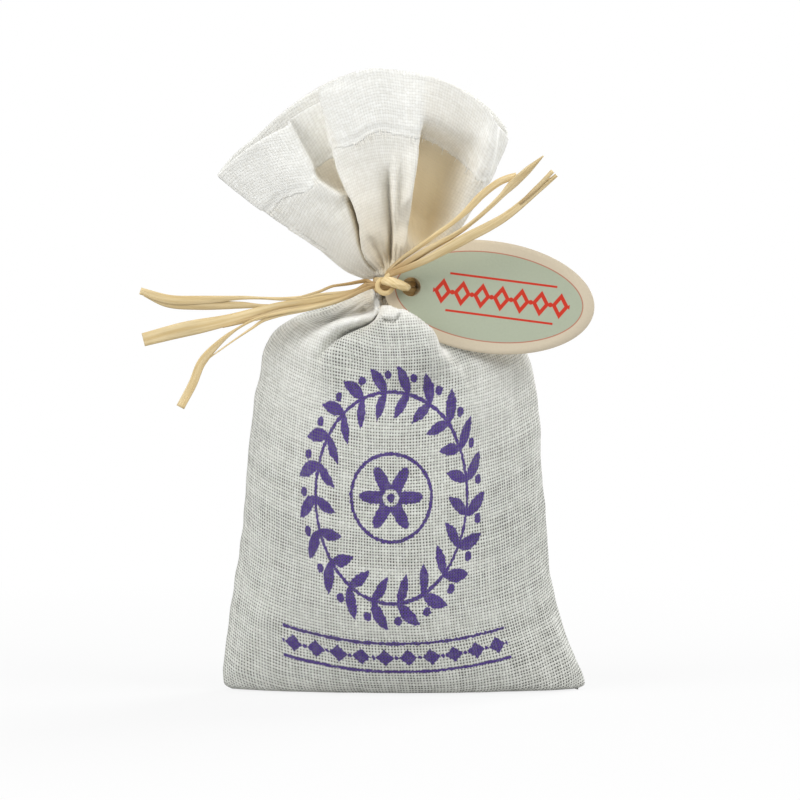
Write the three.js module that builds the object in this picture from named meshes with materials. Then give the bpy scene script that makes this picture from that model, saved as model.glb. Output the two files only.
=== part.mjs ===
// Lavender sachet: a gathered cloth pouch of dried buds, tied with raffia that carries a card tag.
// Millimetres, +Z up. The origin is the middle of the base and the front faces -Y.
import * as THREE from 'three';

// Clearances
const FIT = 0.3; // between pieces that touch on the real object

// Cloth pouch: widths and depths across the filled bag, and how far each measured place lies above
// the one before it
const CLOTH = 0.8; // thickness of the coarse cloth
const BASE_WIDTH = 98; // flat underside, along X
const BASE_DEPTH = 25; // flat underside, along Y
const EAR_WIDTH = 104.5; // across the two bottom corners
const EAR_DEPTH = 30;
const EAR_RISE = 3;
const BELLY_WIDTH = 94;
const BELLY_DEPTH = 42;
const BELLY_RISE = 21;
const WAIST_WIDTH = 85;
const WAIST_DEPTH = 44;
const WAIST_RISE = 36;
const SHOULDER_WIDTH = 79.5;
const SHOULDER_DEPTH = 35;
const SHOULDER_RISE = 29;
const CROWN_WIDTH = 68;
const CROWN_DEPTH = 19;
const CROWN_RISE = 14.5;
const GATHER_WIDTH = 34;
const GATHER_DEPTH = 14;
const GATHER_RISE = 6.5;
const LEAN = -3; // sideways shift of the neck from the middle of the base
const LEAN_RISE = 36; // height over which the bag leans that far
const BASE_LENS = 0.8; // how pointed the sides are: 0.5 is an ellipse, 1 a sharp lens
const CROWN_LENS = 0.55;

// Neck, where the tie holds the cloth
const NECK_RADIUS = 5.1;
const NECK_RISE = 2.6;
const NECK_LENGTH = 5.8;
const NECK_CHANNEL = 1.6; // radius of the passage left in the gathered cloth
const CHANNEL_LENGTH = 4.6; // below the neck, where the gathers close on it
const CHANNEL_END = 0.5; // share of the flare where they have opened again
const PLEATS = 11; // gathers round the neck
const PLEAT_DEPTH = 0.09; // share of the radius at the neck

// Flare: the loose cloth above the tie
const FLARE_TOP = 61; // length of cloth above the tie, in the middle
const FLARE_TIP = 54; // and at the two side tips
const FLARE_SPREAD = 1.28; // how much wider the threads leave the tie than they end
const FLARE_BELLY = 0.45; // how far along the flare that spread reaches
const HEM_DEPTH = 20; // turned hem, two layers thick
const HEM_STEP = 3; // half the length over which the second layer begins

// Directions of the rim seen from the neck, in degrees: the first number is the angle in the front
// view, counted from +X, the second the lean towards the viewer
const RIM_FRONT = [
  [146, 0], [138, 4], [127, 6], [117, -1], [108, 5], [98, 8], [90, 3], [84, 7], [72, 0], [57, 0],
];
const RIM_BACK = [
  [57, 0], [64, -5], [78, -8], [92, -6], [106, -8], [120, -6], [136, -5], [146, 0],
];
const FAN_MIDDLE = 95; // the longest thread of the flare, and how far from it the shortest ones are
const FAN_HALF = 50;

// Filling of dried buds
const FILL_GAP = 9.6; // from the settled buds up to the neck
const FILL_DOME = 3; // rounded top above that height
const SEAM_ROOM = 5; // the seam keeps the buds this far out of the side edges

// Side seams inside the bag
const THREAD = 0.9;
const SEAM_BOTTOM = 8;

// Raffia
const RAFFIA_THICK = 0.9;
const WRAP_HEIGHT = 2.2; // width of one flat strand round the neck
const WRAP_GAP = 0.5; // between the two turns
const WRAP_OPENING = 18; // half angle left open behind the knot, degrees
const STRAND = 2; // rolled strand that carries the tag
const RING_RADIUS = 1.9; // middle of the knot's ring
const RING_STRAND = 1.6;
const RING_RISE = 4; // middle of the ring above the bottom of the neck
const RING_OFFSET = -2.3; // from the middle of the neck, along X
const RING_SWEEP = 260; // how far round the ring goes, degrees
const RING_POINTS = 10;
const KNOT_TURN = 205; // where the knot's strand leaves the wrap, degrees round the neck
const TAIL_THICK = 0.7;
const TAIL_ROOT = 1.8; // width of each loose end where it leaves the knot
const TAIL_TAPER = 0.4; // share of its length where it reaches its full width

// Loose ends of raffia: full width and the way each one runs, from the middle of the knot's ring,
// chosen by eye
const TAILS = {
  raffia_tail_left_upper: {
    width: 4.2,
    way: [
      [-5.3, 2.2, 0.6], [-11.6, 1.9, -1.2], [-19.3, 1.8, -2.3], [-29.8, 1.4, -4],
      [-41.6, 0.4, -4.7], [-53, -0.6, -5], [-61.3, -1.1, -4.6], [-69.3, -1.6, -2],
    ],
  },
  raffia_tail_left_middle: {
    width: 4,
    way: [
      [-5.3, 1, -0.2], [-13, 0.4, -3.2], [-20.1, -0.1, -5.2], [-28.7, -0.6, -6.6],
      [-37.3, -1.1, -8.6], [-45.8, -1.6, -10.6], [-57.3, -2.6, -12.9], [-68.4, -3.6, -15.7],
    ],
  },
  raffia_tail_left_lower: {
    width: 2.6,
    way: [
      [-5.3, -0.2, -1], [-13, -1.1, -4.6], [-21.6, -1.8, -6.9], [-30.1, -2.6, -8.6],
      [-37.6, -3.1, -10.9], [-45.6, -4.1, -16], [-51.6, -5.1, -21.7], [-54.3, -5.9, -28],
      [-57.8, -6.6, -34.6],
    ],
  },
  raffia_tail_right_upper: {
    width: 2.6,
    way: [
      [0.9, 0, 3.6], [4.7, -1, 7.2], [9, -2.8, 10.3], [13.6, -4.7, 13.7],
      [18.4, -6.8, 17.1], [22.4, -8.4, 20.5], [27, -10.4, 25.4], [31.9, -12.4, 29.1],
      [36.7, -14.4, 31],
    ],
  },
  raffia_tail_right_middle: {
    width: 2.6,
    way: [
      [1, -1, 3.4], [6.8, -2.9, 7.8], [12.7, -5.4, 11.7], [22.2, -9.3, 17.1],
      [29, -12.2, 22.3], [35.6, -15, 28.3], [39.9, -16.8, 32.3], [44.2, -18.6, 36.3],
    ],
  },
  raffia_tail_right_lower: {
    width: 3.2,
    way: [
      [1.1, -2, 3.2], [6.5, -3.7, 6], [11.3, -5.7, 8.5], [16.4, -7.9, 11.4],
      [21.9, -10.2, 14.5], [28.4, -13, 17.4], [33.9, -15.3, 20], [42.4, -18.8, 26.8],
      [47.3, -20.9, 31.4],
    ],
  },
};

// Card tag
const TAG_LENGTH = 60;
const TAG_WIDTH = 32;
const TAG_THICK = 0.6;
const TAG_HOLE = 5.4;
const TAG_MARGIN = 5; // card left between the hole and the end
const TAG_TILT = 7.4; // right end lower, degrees
const TAG_YAW = -2; // right end forward
const HOLE_OFFSET = 5; // hole from the middle of the neck, along X
const HOLE_DROP = 0.9; // hole below the middle of the knot's ring

// Fineness of the facets
const AROUND = PLEATS * 6;
const POUCH_RINGS = 14;
const FLARE_RINGS = 8;
const FILL_AROUND = 36;
const SEAM_STEPS = 16;
const WRAP_STEPS = 36;
const KNOT_STEPS = 30;
const LOOP_STEPS = 24;
const TAG_SEGMENTS = 24;
const SIDES = 8;
const HALVINGS = 40; // steps when the pouch's curve is read by height

const degrees = THREE.MathUtils.degToRad;
const UPRIGHT = 90;
const EAR_HEIGHT = EAR_RISE;
const BELLY_HEIGHT = EAR_HEIGHT + BELLY_RISE;
const WAIST_HEIGHT = BELLY_HEIGHT + WAIST_RISE;
const SHOULDER_HEIGHT = WAIST_HEIGHT + SHOULDER_RISE;
const CROWN_HEIGHT = SHOULDER_HEIGHT + CROWN_RISE;
const GATHER_HEIGHT = CROWN_HEIGHT + GATHER_RISE;
const NECK_BOTTOM = GATHER_HEIGHT + NECK_RISE;
const FILL_HEIGHT = NECK_BOTTOM - FILL_GAP;
const RING_HEIGHT = NECK_BOTTOM + RING_RISE;
const HOLE_HEIGHT = RING_HEIGHT - HOLE_DROP;
const NECK_TOP = NECK_BOTTOM + NECK_LENGTH;
const NECK_OUTER = NECK_RADIUS * (1 + PLEAT_DEPTH);
const WRAP_MIDDLE = NECK_OUTER + FIT + RAFFIA_THICK / 2;
const WRAP_FRONT = -(NECK_OUTER + FIT + RAFFIA_THICK);
const BACK_LEG = WRAP_FRONT - FIT - STRAND / 2;
const TAG_BACK = BACK_LEG - STRAND / 2 - FIT;
const TAG_FRONT = TAG_BACK - TAG_THICK;
const RING_FRONT = TAG_FRONT - 2 * FIT - RING_STRAND / 2;
const FRONT_LEG = RING_FRONT - RING_STRAND / 2 - 2 * FIT - STRAND / 2;

// One closed body through a list of rings, each with the same number of points
function loft(rings) {
  const count = rings[0].length;
  const points = rings.flat();
  const first = points.length;
  points.push(middleOf(rings[0]));
  const last = points.length;
  points.push(middleOf(rings[rings.length - 1]));
  const faces = [];
  for (let ring = 0; ring + 1 < rings.length; ring += 1) {
    for (let side = 0; side < count; side += 1) {
      const next = (side + 1) % count;
      const a = ring * count + side;
      const b = ring * count + next;
      faces.push([a, b, b + count], [a, b + count, a + count]);
    }
  }
  const top = (rings.length - 1) * count;
  for (let side = 0; side < count; side += 1) {
    const next = (side + 1) % count;
    faces.push([first, next, side], [last, top + side, top + next]);
  }
  return outward(points, faces);
}

function middleOf(ring) {
  const sum = ring.reduce((total, point) => total.add(point), new THREE.Vector3());
  return sum.divideScalar(ring.length);
}

// A geometry whose faces point out, whichever way the rings ran
function outward(points, faces) {
  let volume = 0;
  for (const [a, b, c] of faces) {
    volume += points[a].dot(points[b].clone().cross(points[c]));
  }
  const ordered = volume < 0 ? faces.map(([a, b, c]) => [a, c, b]) : faces;
  const geometry = new THREE.BufferGeometry().setFromPoints(points);
  geometry.setIndex(ordered.flat());
  geometry.computeVertexNormals();
  return geometry;
}

function mesh(name, geometry, color, roughness) {
  const material = new THREE.MeshStandardMaterial({ color, roughness, metalness: 0 });
  const part = new THREE.Mesh(geometry, material);
  part.name = name;
  return part;
}

// The pouch's half width, half depth and height at the places measured on the filled bag
const POUCH = new THREE.CatmullRomCurve3([
  new THREE.Vector3(BASE_WIDTH / 2, BASE_DEPTH / 2, 0),
  new THREE.Vector3(EAR_WIDTH / 2, EAR_DEPTH / 2, EAR_HEIGHT),
  new THREE.Vector3(BELLY_WIDTH / 2, BELLY_DEPTH / 2, BELLY_HEIGHT),
  new THREE.Vector3(WAIST_WIDTH / 2, WAIST_DEPTH / 2, WAIST_HEIGHT),
  new THREE.Vector3(SHOULDER_WIDTH / 2, SHOULDER_DEPTH / 2, SHOULDER_HEIGHT),
  new THREE.Vector3(CROWN_WIDTH / 2, CROWN_DEPTH / 2, CROWN_HEIGHT),
  new THREE.Vector3(GATHER_WIDTH / 2, GATHER_DEPTH / 2, GATHER_HEIGHT),
  new THREE.Vector3(NECK_RADIUS, NECK_RADIUS, NECK_BOTTOM),
], false, 'centripetal');

// The same curve read by height
function pouchAt(height) {
  let low = 0;
  let high = 1;
  for (let step = 0; step < HALVINGS; step += 1) {
    const middle = (low + high) / 2;
    if (POUCH.getPoint(middle).z < height) {
      low = middle;
    } else {
      high = middle;
    }
  }
  return POUCH.getPoint(low);
}

// Sideways place of the bag's middle: the lower part leans over to the neck
function middleX(height) {
  return LEAN * THREE.MathUtils.smoothstep(height, 0, LEAN_RISE);
}

// One ring round the bag: a lens low down, an ellipse near the neck, with gathers
function bagRing(halfWidth, halfDepth, height, pleat, count = AROUND) {
  const lens = THREE.MathUtils.lerp(BASE_LENS, CROWN_LENS, Math.min(height / CROWN_HEIGHT, 1));
  const ring = [];
  for (let side = 0; side < count; side += 1) {
    const turn = (2 * Math.PI * side) / count;
    const swell = 1 + pleat * Math.cos(PLEATS * turn);
    const across = Math.cos(turn);
    const along = Math.sin(turn);
    const bulge = Math.sign(along) * Math.abs(along) ** (2 * lens);
    const x = middleX(height) + halfWidth * across * swell;
    ring.push(new THREE.Vector3(x, halfDepth * bulge * swell, height));
  }
  return ring;
}

// Gathers grow from the shoulder to the neck
function pleatAt(height) {
  return PLEAT_DEPTH * THREE.MathUtils.smoothstep(height, SHOULDER_HEIGHT, NECK_BOTTOM);
}

// How far the pouch's front stands out at a place in the front view
function frontAt(x, height) {
  const { x: halfWidth, y: halfDepth } = pouchAt(height);
  const pleat = 1 + pleatAt(height);
  const across = (x - middleX(height)) / (halfWidth * pleat);
  if (Math.abs(across) >= 1) {
    return 0;
  }
  const lens = THREE.MathUtils.lerp(BASE_LENS, CROWN_LENS, Math.min(height / CROWN_HEIGHT, 1));
  return halfDepth * pleat * (1 - across * across) ** lens;
}

// Where each thread of the flare ends: an angle in the front view and a lean
const RIM_SPLINES = [RIM_BACK, RIM_FRONT].map(
  (list) => new THREE.SplineCurve(list.map(([fan, lean]) => new THREE.Vector2(fan, lean))),
);

function rimDirection(turn) {
  const half = turn < Math.PI ? 0 : 1;
  return RIM_SPLINES[half].getPoint(turn / Math.PI - half);
}

function direction(fan, lean) {
  const flat = Math.cos(degrees(lean));
  return new THREE.Vector3(
    Math.cos(degrees(fan)) * flat,
    -Math.sin(degrees(lean)),
    Math.sin(degrees(fan)) * flat,
  );
}

// A point of the flare: share 0 at the tie, 1 at the rim
function flarePoint(turn, share, neckRadius) {
  const { x: fan, y: lean } = rimDirection(turn);
  const swell = 1 + (neckRadius === NECK_RADIUS ? PLEAT_DEPTH * Math.cos(PLEATS * turn) : 0);
  const start = new THREE.Vector3(
    LEAN + neckRadius * Math.cos(turn) * swell,
    neckRadius * Math.sin(turn) * swell,
    NECK_TOP,
  );
  const side = Math.min(Math.abs(fan - FAN_MIDDLE) / FAN_HALF, 1);
  const length = FLARE_TOP - (FLARE_TOP - FLARE_TIP) * side * side;
  const bend = start.clone().addScaledVector(
    direction(UPRIGHT + (fan - UPRIGHT) * FLARE_SPREAD, lean),
    length * FLARE_BELLY,
  );
  const end = start.clone().addScaledVector(direction(fan, lean), length);
  return new THREE.QuadraticBezierCurve3(start, bend, end).getPoint(share);
}

// Outward direction of the flare's cloth
function flareNormal(turn, share) {
  const step = 0.02;
  const low = Math.max(share - step, 0);
  const high = Math.min(share + step, 1);
  const along = flarePoint(turn, high, NECK_RADIUS).sub(flarePoint(turn, low, NECK_RADIUS));
  const before = (turn - step + 2 * Math.PI) % (2 * Math.PI);
  const after = (turn + step) % (2 * Math.PI);
  const across = flarePoint(after, share, NECK_RADIUS).sub(flarePoint(before, share, NECK_RADIUS));
  return across.cross(along).normalize();
}

// One ring of the flare, on the outer or the inner face of the cloth
function flareRing(share, outer) {
  const hemStart = 1 - HEM_DEPTH / FLARE_TOP;
  const hemStep = HEM_STEP / FLARE_TOP;
  const hem = THREE.MathUtils.smoothstep(share, hemStart - hemStep, hemStart + hemStep);
  const ring = [];
  for (let side = 0; side < AROUND; side += 1) {
    const turn = (2 * Math.PI * side) / AROUND;
    if (outer) {
      const point = flarePoint(turn, share, NECK_RADIUS);
      ring.push(point.addScaledVector(flareNormal(turn, share), CLOTH * hem));
    } else {
      const point = flarePoint(turn, share, NECK_CHANNEL);
      const cloth = flarePoint(turn, share, NECK_RADIUS);
      cloth.addScaledVector(flareNormal(turn, share), -CLOTH);
      ring.push(point.lerp(cloth, THREE.MathUtils.smoothstep(share, 0, CHANNEL_END)));
    }
  }
  return ring;
}

// Cloth bag: up the outside, over the rim and down the inside
function clothBag() {
  const rings = [];
  for (let step = 0; step <= POUCH_RINGS; step += 1) {
    const { x: halfWidth, y: halfDepth, z: height } = POUCH.getPoint(step / POUCH_RINGS);
    rings.push(bagRing(halfWidth, halfDepth, height, pleatAt(height)));
  }
  for (let step = 0; step <= FLARE_RINGS; step += 1) {
    rings.push(flareRing(step / FLARE_RINGS, true));
  }
  for (let step = FLARE_RINGS; step >= 0; step -= 1) {
    rings.push(flareRing(step / FLARE_RINGS, false));
  }
  for (let step = POUCH_RINGS; step >= 0; step -= 1) {
    const { x: halfWidth, y: halfDepth, z: height } = POUCH.getPoint(step / POUCH_RINGS);
    const gathered = THREE.MathUtils.smoothstep(height, NECK_BOTTOM - CHANNEL_LENGTH, NECK_BOTTOM);
    const wall = THREE.MathUtils.lerp(CLOTH, NECK_RADIUS - NECK_CHANNEL, gathered);
    const floor = Math.max(height, CLOTH);
    const pleat = pleatAt(height) * (1 - gathered);
    rings.push(bagRing(halfWidth - wall, halfDepth - wall, floor, pleat));
  }
  return mesh('cloth_bag', loft(rings), 0xc9cbc4, 0.95);
}

// Filling of dried buds, clear of the cloth and of both side seams
function filling() {
  const rings = [];
  const low = CLOTH + FIT;
  for (let step = 0; step <= POUCH_RINGS; step += 1) {
    const height = THREE.MathUtils.lerp(low, FILL_HEIGHT, step / POUCH_RINGS);
    const { x: halfWidth, y: halfDepth } = pouchAt(height);
    const room = 1 - pleatAt(height);
    rings.push(bagRing(
      halfWidth * room - CLOTH - SEAM_ROOM,
      halfDepth * room - CLOTH - FIT,
      height,
      0,
      FILL_AROUND,
    ));
  }
  const { x: domeWidth, y: domeDepth } = pouchAt(FILL_HEIGHT + FILL_DOME);
  rings.push(bagRing(domeWidth / 2, domeDepth / 2, FILL_HEIGHT + FILL_DOME, 0, FILL_AROUND));
  return mesh('lavender_filling', loft(rings), 0x6d5f86, 1);
}

// A strand along a smooth way: an oval section, thin in the direction that thinAlong gives
function strand(way, widthAt, thickness, steps, thinAlong) {
  const curve = new THREE.CatmullRomCurve3(way, false, 'centripetal');
  const rings = [];
  for (let step = 0; step <= steps; step += 1) {
    const share = step / steps;
    const middle = curve.getPointAt(share);
    const ahead = curve.getTangentAt(share);
    const thin = thinAlong(middle, ahead);
    const wide = ahead.clone().cross(thin).normalize();
    thin.copy(wide).cross(ahead).normalize();
    const ring = [];
    for (let side = 0; side < SIDES; side += 1) {
      const turn = (2 * Math.PI * side) / SIDES;
      const point = middle.clone().addScaledVector(wide, (Math.cos(turn) * widthAt(share)) / 2);
      ring.push(point.addScaledVector(thin, (Math.sin(turn) * thickness) / 2));
    }
    rings.push(ring);
  }
  return loft(rings);
}

const towardsViewer = () => new THREE.Vector3(0, -1, 0);
const upward = () => new THREE.Vector3(0, 0, 1);

// Steady direction for a round strand that first runs forward and then turns in the front view
const diagonal = (middle, ahead) => towardsViewer().addScaledVector(upward(), ahead.y * ahead.y);

// Sewing thread of one side seam, inside the bag's side edge
function seamThread(name, sign) {
  const way = [];
  for (let step = 0; step <= SEAM_STEPS; step += 1) {
    const height = THREE.MathUtils.lerp(SEAM_BOTTOM, SHOULDER_HEIGHT, step / SEAM_STEPS);
    const inside = pouchAt(height).x - CLOTH - 2 * FIT - THREAD / 2;
    way.push(new THREE.Vector3(middleX(height) + sign * inside, 0, height));
  }
  const thread = strand(way, () => THREAD, THREAD, SEAM_STEPS, towardsViewer);
  return mesh(name, thread, 0xe6e2d6, 0.8);
}

// One flat turn of raffia round the neck, open behind the knot
function neckWrap(name, height) {
  const way = [];
  for (let step = 0; step <= WRAP_STEPS; step += 1) {
    const share = step / WRAP_STEPS;
    const turn = degrees(THREE.MathUtils.lerp(WRAP_OPENING, 360 - WRAP_OPENING, share) - 90);
    way.push(new THREE.Vector3(
      LEAN + WRAP_MIDDLE * Math.cos(turn),
      WRAP_MIDDLE * Math.sin(turn),
      height,
    ));
  }
  const outwards = (middle) => new THREE.Vector3(middle.x - LEAN, middle.y, 0);
  leastGap(name, [way[0]], [way[WRAP_STEPS]], RAFFIA_THICK);
  const turnOfRaffia = strand(way, () => WRAP_HEIGHT, RAFFIA_THICK, WRAP_STEPS, outwards);
  return mesh(name, turnOfRaffia, 0xb8995c, 0.7);
}

// Prints how near a wound strand comes to itself, surface to surface
function leastGap(name, some, others, thickness) {
  const distances = some.flatMap((a) => others.map((b) => a.distanceTo(b)));
  console.log(`${name}: least gap to itself ${(Math.min(...distances) - thickness).toFixed(2)} mm`);
}

// Knot: the strand comes forward past the tag's end and turns back in a ring that faces the viewer
function knot() {
  const ringX = LEAN + RING_OFFSET;
  const rootRadius = WRAP_MIDDLE + RAFFIA_THICK / 2 + FIT + RING_STRAND / 2;
  const rootTurn = degrees(KNOT_TURN);
  const root = new THREE.Vector3(
    LEAN + rootRadius * Math.cos(rootTurn),
    rootRadius * Math.sin(rootTurn),
    RING_HEIGHT,
  );
  const way = [root, new THREE.Vector3(root.x, (root.y + RING_FRONT) / 2, RING_HEIGHT)];
  const ring = [];
  for (let step = 0; step <= RING_POINTS; step += 1) {
    const turn = degrees(180 - (RING_SWEEP * step) / RING_POINTS);
    ring.push(new THREE.Vector3(
      ringX + RING_RADIUS * Math.cos(turn),
      RING_FRONT,
      RING_HEIGHT + RING_RADIUS * Math.sin(turn),
    ));
  }
  way.push(...ring);
  leastGap('raffia_knot', ring.slice(0, 3), ring.slice(-3), RING_STRAND);
  const strandOfKnot = strand(way, () => RING_STRAND, RING_STRAND, KNOT_STEPS, diagonal);
  return mesh('raffia_knot', strandOfKnot, 0xc9ac72, 0.7);
}

// Rolled strand that carries the tag: out of the ring, through the hole and back behind the tag
function tagLoop() {
  const startX = LEAN + RING_OFFSET + FIT;
  const holeX = LEAN + HOLE_OFFSET;
  const betweenX = (startX + holeX) / 2;
  const tagMiddle = (TAG_FRONT + TAG_BACK) / 2;
  const way = [
    new THREE.Vector3(startX, FRONT_LEG, RING_HEIGHT),
    new THREE.Vector3(betweenX, FRONT_LEG, RING_HEIGHT),
    new THREE.Vector3(holeX - STRAND / 2, FRONT_LEG + STRAND / 2, HOLE_HEIGHT),
    new THREE.Vector3(holeX, tagMiddle, HOLE_HEIGHT),
    new THREE.Vector3(holeX - STRAND / 2, BACK_LEG - FIT, HOLE_HEIGHT),
    new THREE.Vector3(betweenX, BACK_LEG, HOLE_HEIGHT),
    new THREE.Vector3(startX + STRAND, BACK_LEG, HOLE_HEIGHT),
  ];
  const rolled = strand(way, () => STRAND, STRAND, LOOP_STEPS, upward);
  return mesh('raffia_tag_loop', rolled, 0xd6c08c, 0.7);
}

// The card leans on the pouch's shoulder: the least lean that keeps its lower edge before the cloth
function tagLean(fromHole) {
  let slope = 0;
  for (let turn = 180; turn < 360; turn += 5) {
    const along = fromHole + (TAG_LENGTH / 2) * Math.cos(degrees(turn));
    const up = (TAG_WIDTH / 2) * Math.sin(degrees(turn));
    const x = along * Math.cos(degrees(TAG_TILT)) + up * Math.sin(degrees(TAG_TILT));
    const z = up * Math.cos(degrees(TAG_TILT)) - along * Math.sin(degrees(TAG_TILT));
    const front = frontAt(LEAN + HOLE_OFFSET + x, HOLE_HEIGHT + z);
    const short = front + 2 * FIT + TAG_BACK + x * Math.sin(degrees(TAG_YAW));
    if (z < 0) {
      slope = Math.max(slope, -short / z);
    }
  }
  return -Math.atan(slope);
}

// Card tag, threaded by its hole, which is the middle of its group
function hangTag() {
  const outline = new THREE.Shape();
  const fromHole = TAG_LENGTH / 2 - TAG_MARGIN - TAG_HOLE / 2;
  outline.absellipse(fromHole, 0, TAG_LENGTH / 2, TAG_WIDTH / 2, 0, 2 * Math.PI);
  const hole = new THREE.Path();
  hole.absarc(0, 0, TAG_HOLE / 2, 0, 2 * Math.PI, true);
  outline.holes.push(hole);
  const card = new THREE.ExtrudeGeometry(outline, {
    depth: TAG_THICK,
    bevelEnabled: false,
    curveSegments: TAG_SEGMENTS,
  });
  const part = mesh('hang_tag', card, 0xbfc7b8, 0.6);
  part.rotation.x = Math.PI / 2;
  const place = new THREE.Group();
  place.position.set(LEAN + HOLE_OFFSET, TAG_BACK, HOLE_HEIGHT);
  place.rotation.set(tagLean(fromHole), degrees(TAG_TILT), degrees(TAG_YAW), 'ZXY');
  place.add(part);
  return place;
}

// One loose end of raffia, narrow where it leaves the knot
function tail(name, { width, way }) {
  const ringMiddle = new THREE.Vector3(LEAN + RING_OFFSET, RING_FRONT, RING_HEIGHT);
  const points = way.map((place) => new THREE.Vector3(...place).add(ringMiddle));
  const steps = 2 * way.length;
  const widthAt = (share) => {
    const opened = THREE.MathUtils.smoothstep(share, 0, TAIL_TAPER);
    return THREE.MathUtils.lerp(TAIL_ROOT, width, opened);
  };
  return mesh(name, strand(points, widthAt, TAIL_THICK, steps, towardsViewer), 0xc9b586, 0.7);
}

const sachet = new THREE.Group();
sachet.name = 'lavender_sachet';
sachet.add(clothBag());
sachet.add(filling());
sachet.add(seamThread('left_seam_thread', -1));
sachet.add(seamThread('right_seam_thread', 1));
const neckMiddle = NECK_BOTTOM + NECK_LENGTH / 2;
const turnStep = (WRAP_HEIGHT + WRAP_GAP) / 2;
sachet.add(neckWrap('raffia_wrap_lower', neckMiddle - turnStep));
sachet.add(neckWrap('raffia_wrap_upper', neckMiddle + turnStep));
sachet.add(knot());
sachet.add(tagLoop());
sachet.add(hangTag());
for (const [name, form] of Object.entries(TAILS)) {
  sachet.add(tail(name, form));
}

export default sachet;
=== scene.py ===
"""Looks of a lavender sachet: a gathered cloth bag, its raffia tie and its card tag.

Shapes are worked out in millimetres and become metres when a mesh is made.
Z is up and the front faces -Y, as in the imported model.
"""
import math

import bmesh
import bpy
import numpy as np
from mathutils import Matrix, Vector


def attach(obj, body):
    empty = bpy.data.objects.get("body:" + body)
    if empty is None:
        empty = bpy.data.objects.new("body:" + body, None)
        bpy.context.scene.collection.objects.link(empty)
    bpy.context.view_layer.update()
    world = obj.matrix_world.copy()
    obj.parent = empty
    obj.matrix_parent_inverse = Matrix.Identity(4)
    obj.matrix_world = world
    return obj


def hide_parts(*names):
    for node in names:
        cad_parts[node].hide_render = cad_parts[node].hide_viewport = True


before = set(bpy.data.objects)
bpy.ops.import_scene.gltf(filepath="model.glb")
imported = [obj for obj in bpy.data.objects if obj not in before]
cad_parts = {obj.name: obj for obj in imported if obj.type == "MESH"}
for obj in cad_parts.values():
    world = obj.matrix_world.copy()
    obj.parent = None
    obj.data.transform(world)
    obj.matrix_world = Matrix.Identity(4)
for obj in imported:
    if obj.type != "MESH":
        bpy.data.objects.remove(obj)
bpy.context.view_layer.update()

MM = 0.001
TURN = 2 * math.pi
# How finely a curve and a drawn line are divided, and the waves of a random field.
CURVE_STEPS = 24
LINE_STEPS = 70
WAVES = 14
WAVES_SIZE = 4.2

# The camera: the photograph shows 3.5 pixels to a millimetre at the middle of the bag.
VIEW_SIDE = -1.14
VIEW_HEIGHT = 83.1
VIEW_DISTANCE = 1400.0
VIEW_ELEVATION = math.radians(3.0)
VIEW_WIDTH = 800 / 3.5
VIEW_FAR = 20.0
SENSOR = 36.0

# Lights: name, place in metres, width in metres and power.
LAMPS = (
    ("left_light", (-1.2, -0.7, 0.85), 1.0, 15.2),
    ("right_light", (1.2, -0.6, 1.05), 1.0, 13.9),
    ("top_light", (-0.1, -0.8, 1.25), 1.1, 6.4),
    ("back_light", (0.9, 1.1, 0.85), 0.8, 19.0),
)
LAMP_AIM = (0, 0, 0.09)
WHITE = (1, 1, 1, 1)
SKY = (0.96, 0.98, 1.0, 1)
SKY_STRENGTH = 0.15
FLOOR_GREY = (0.65, 0.65, 0.65, 1)
FLOOR_HALF = 6.0
# The distances between which the floor fades, and how white it looks at both, in metres.
FLOOR_FADE = (0.08, 0.36, 0.84, 1.0)

# The bag: its neck, its cloth and the rows and columns of its net.
NECK_X = -3.0
NECK_LOW = 112.6
NECK_HIGH = 118.4
CLOTH_THICK = 0.35
CLOTH_WIDTH = 110.0
FRONT_COLUMNS = 150
FRONT = slice(0, FRONT_COLUMNS + 1)
# The share from the left seam to the right one, for the columns of the front and for all of them.
ACROSS = np.linspace(0, 1, FRONT_COLUMNS + 1)
AROUND = np.concatenate([ACROSS, ACROSS[::-1][1:]])
AT_BACK = np.arange(2 * FRONT_COLUMNS + 1) > FRONT_COLUMNS
FOLD_ROWS = 14
NECK_ROWS = 9
LOWEST = 0.36
RING_STEPS = 500
POUCH_STEPS = 900
FLARE_STEPS = 120
POUCH_STEP = 0.9
SHOULDER = 86.0
SHOULDER_STEP = 0.55
FLARE_ROWS = 84
HEM_DEPTH = 18.6
HEM_LIFT = 0.32
HEM_ROWS = 27
HEM_TURN = (45, 90, 135)
# The hem's raw edge is thinner, by rows and share of the thickness.
RAW_ROWS = 4
RAW_THICK = 0.08
# Pleats: how many there are, and the seed of their widths.
FINE_PLEATS = (46, 3)
BROAD_PLEATS = (17, 11)
LONG_PLEATS = (9, 29)
PUFF_HEIGHT = 2.6
# How far the dark inside shows through the weave, where 1 is the belly.
BACKING_FLARE = 0.18
BACKING_HEM = 0.13
# The side seams, sewn inside the bag.
STITCH = 3.2
SEAM_LOW = 8
SEAM_HIGH = 89
SEAM_POINTS = 330
SEAM_INSET = 2.6
SEAM_RADIUS = 0.18
# Loose threads of the hem: how many, how long, how thick at both ends, and the stretches of the front
# that have more of them, from left to right and how many more.
FRAYS = 80
FRAY_LONG = (0.6, 2.4)
FRAY_RADIUS = (0.13, 0.06)
FRAY_POINTS = 9
FRAY_SPOTS = ((12, 24, 5.0), (-14, -5, 2.5))
# The filling.
FILL_LOW = 2
FILL_HIGH = 92
FILL_CROWN = 6
FILL_INSET = 5.0
FILL_ROWS = 80
FILL_CROWN_ROWS = 16
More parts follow.
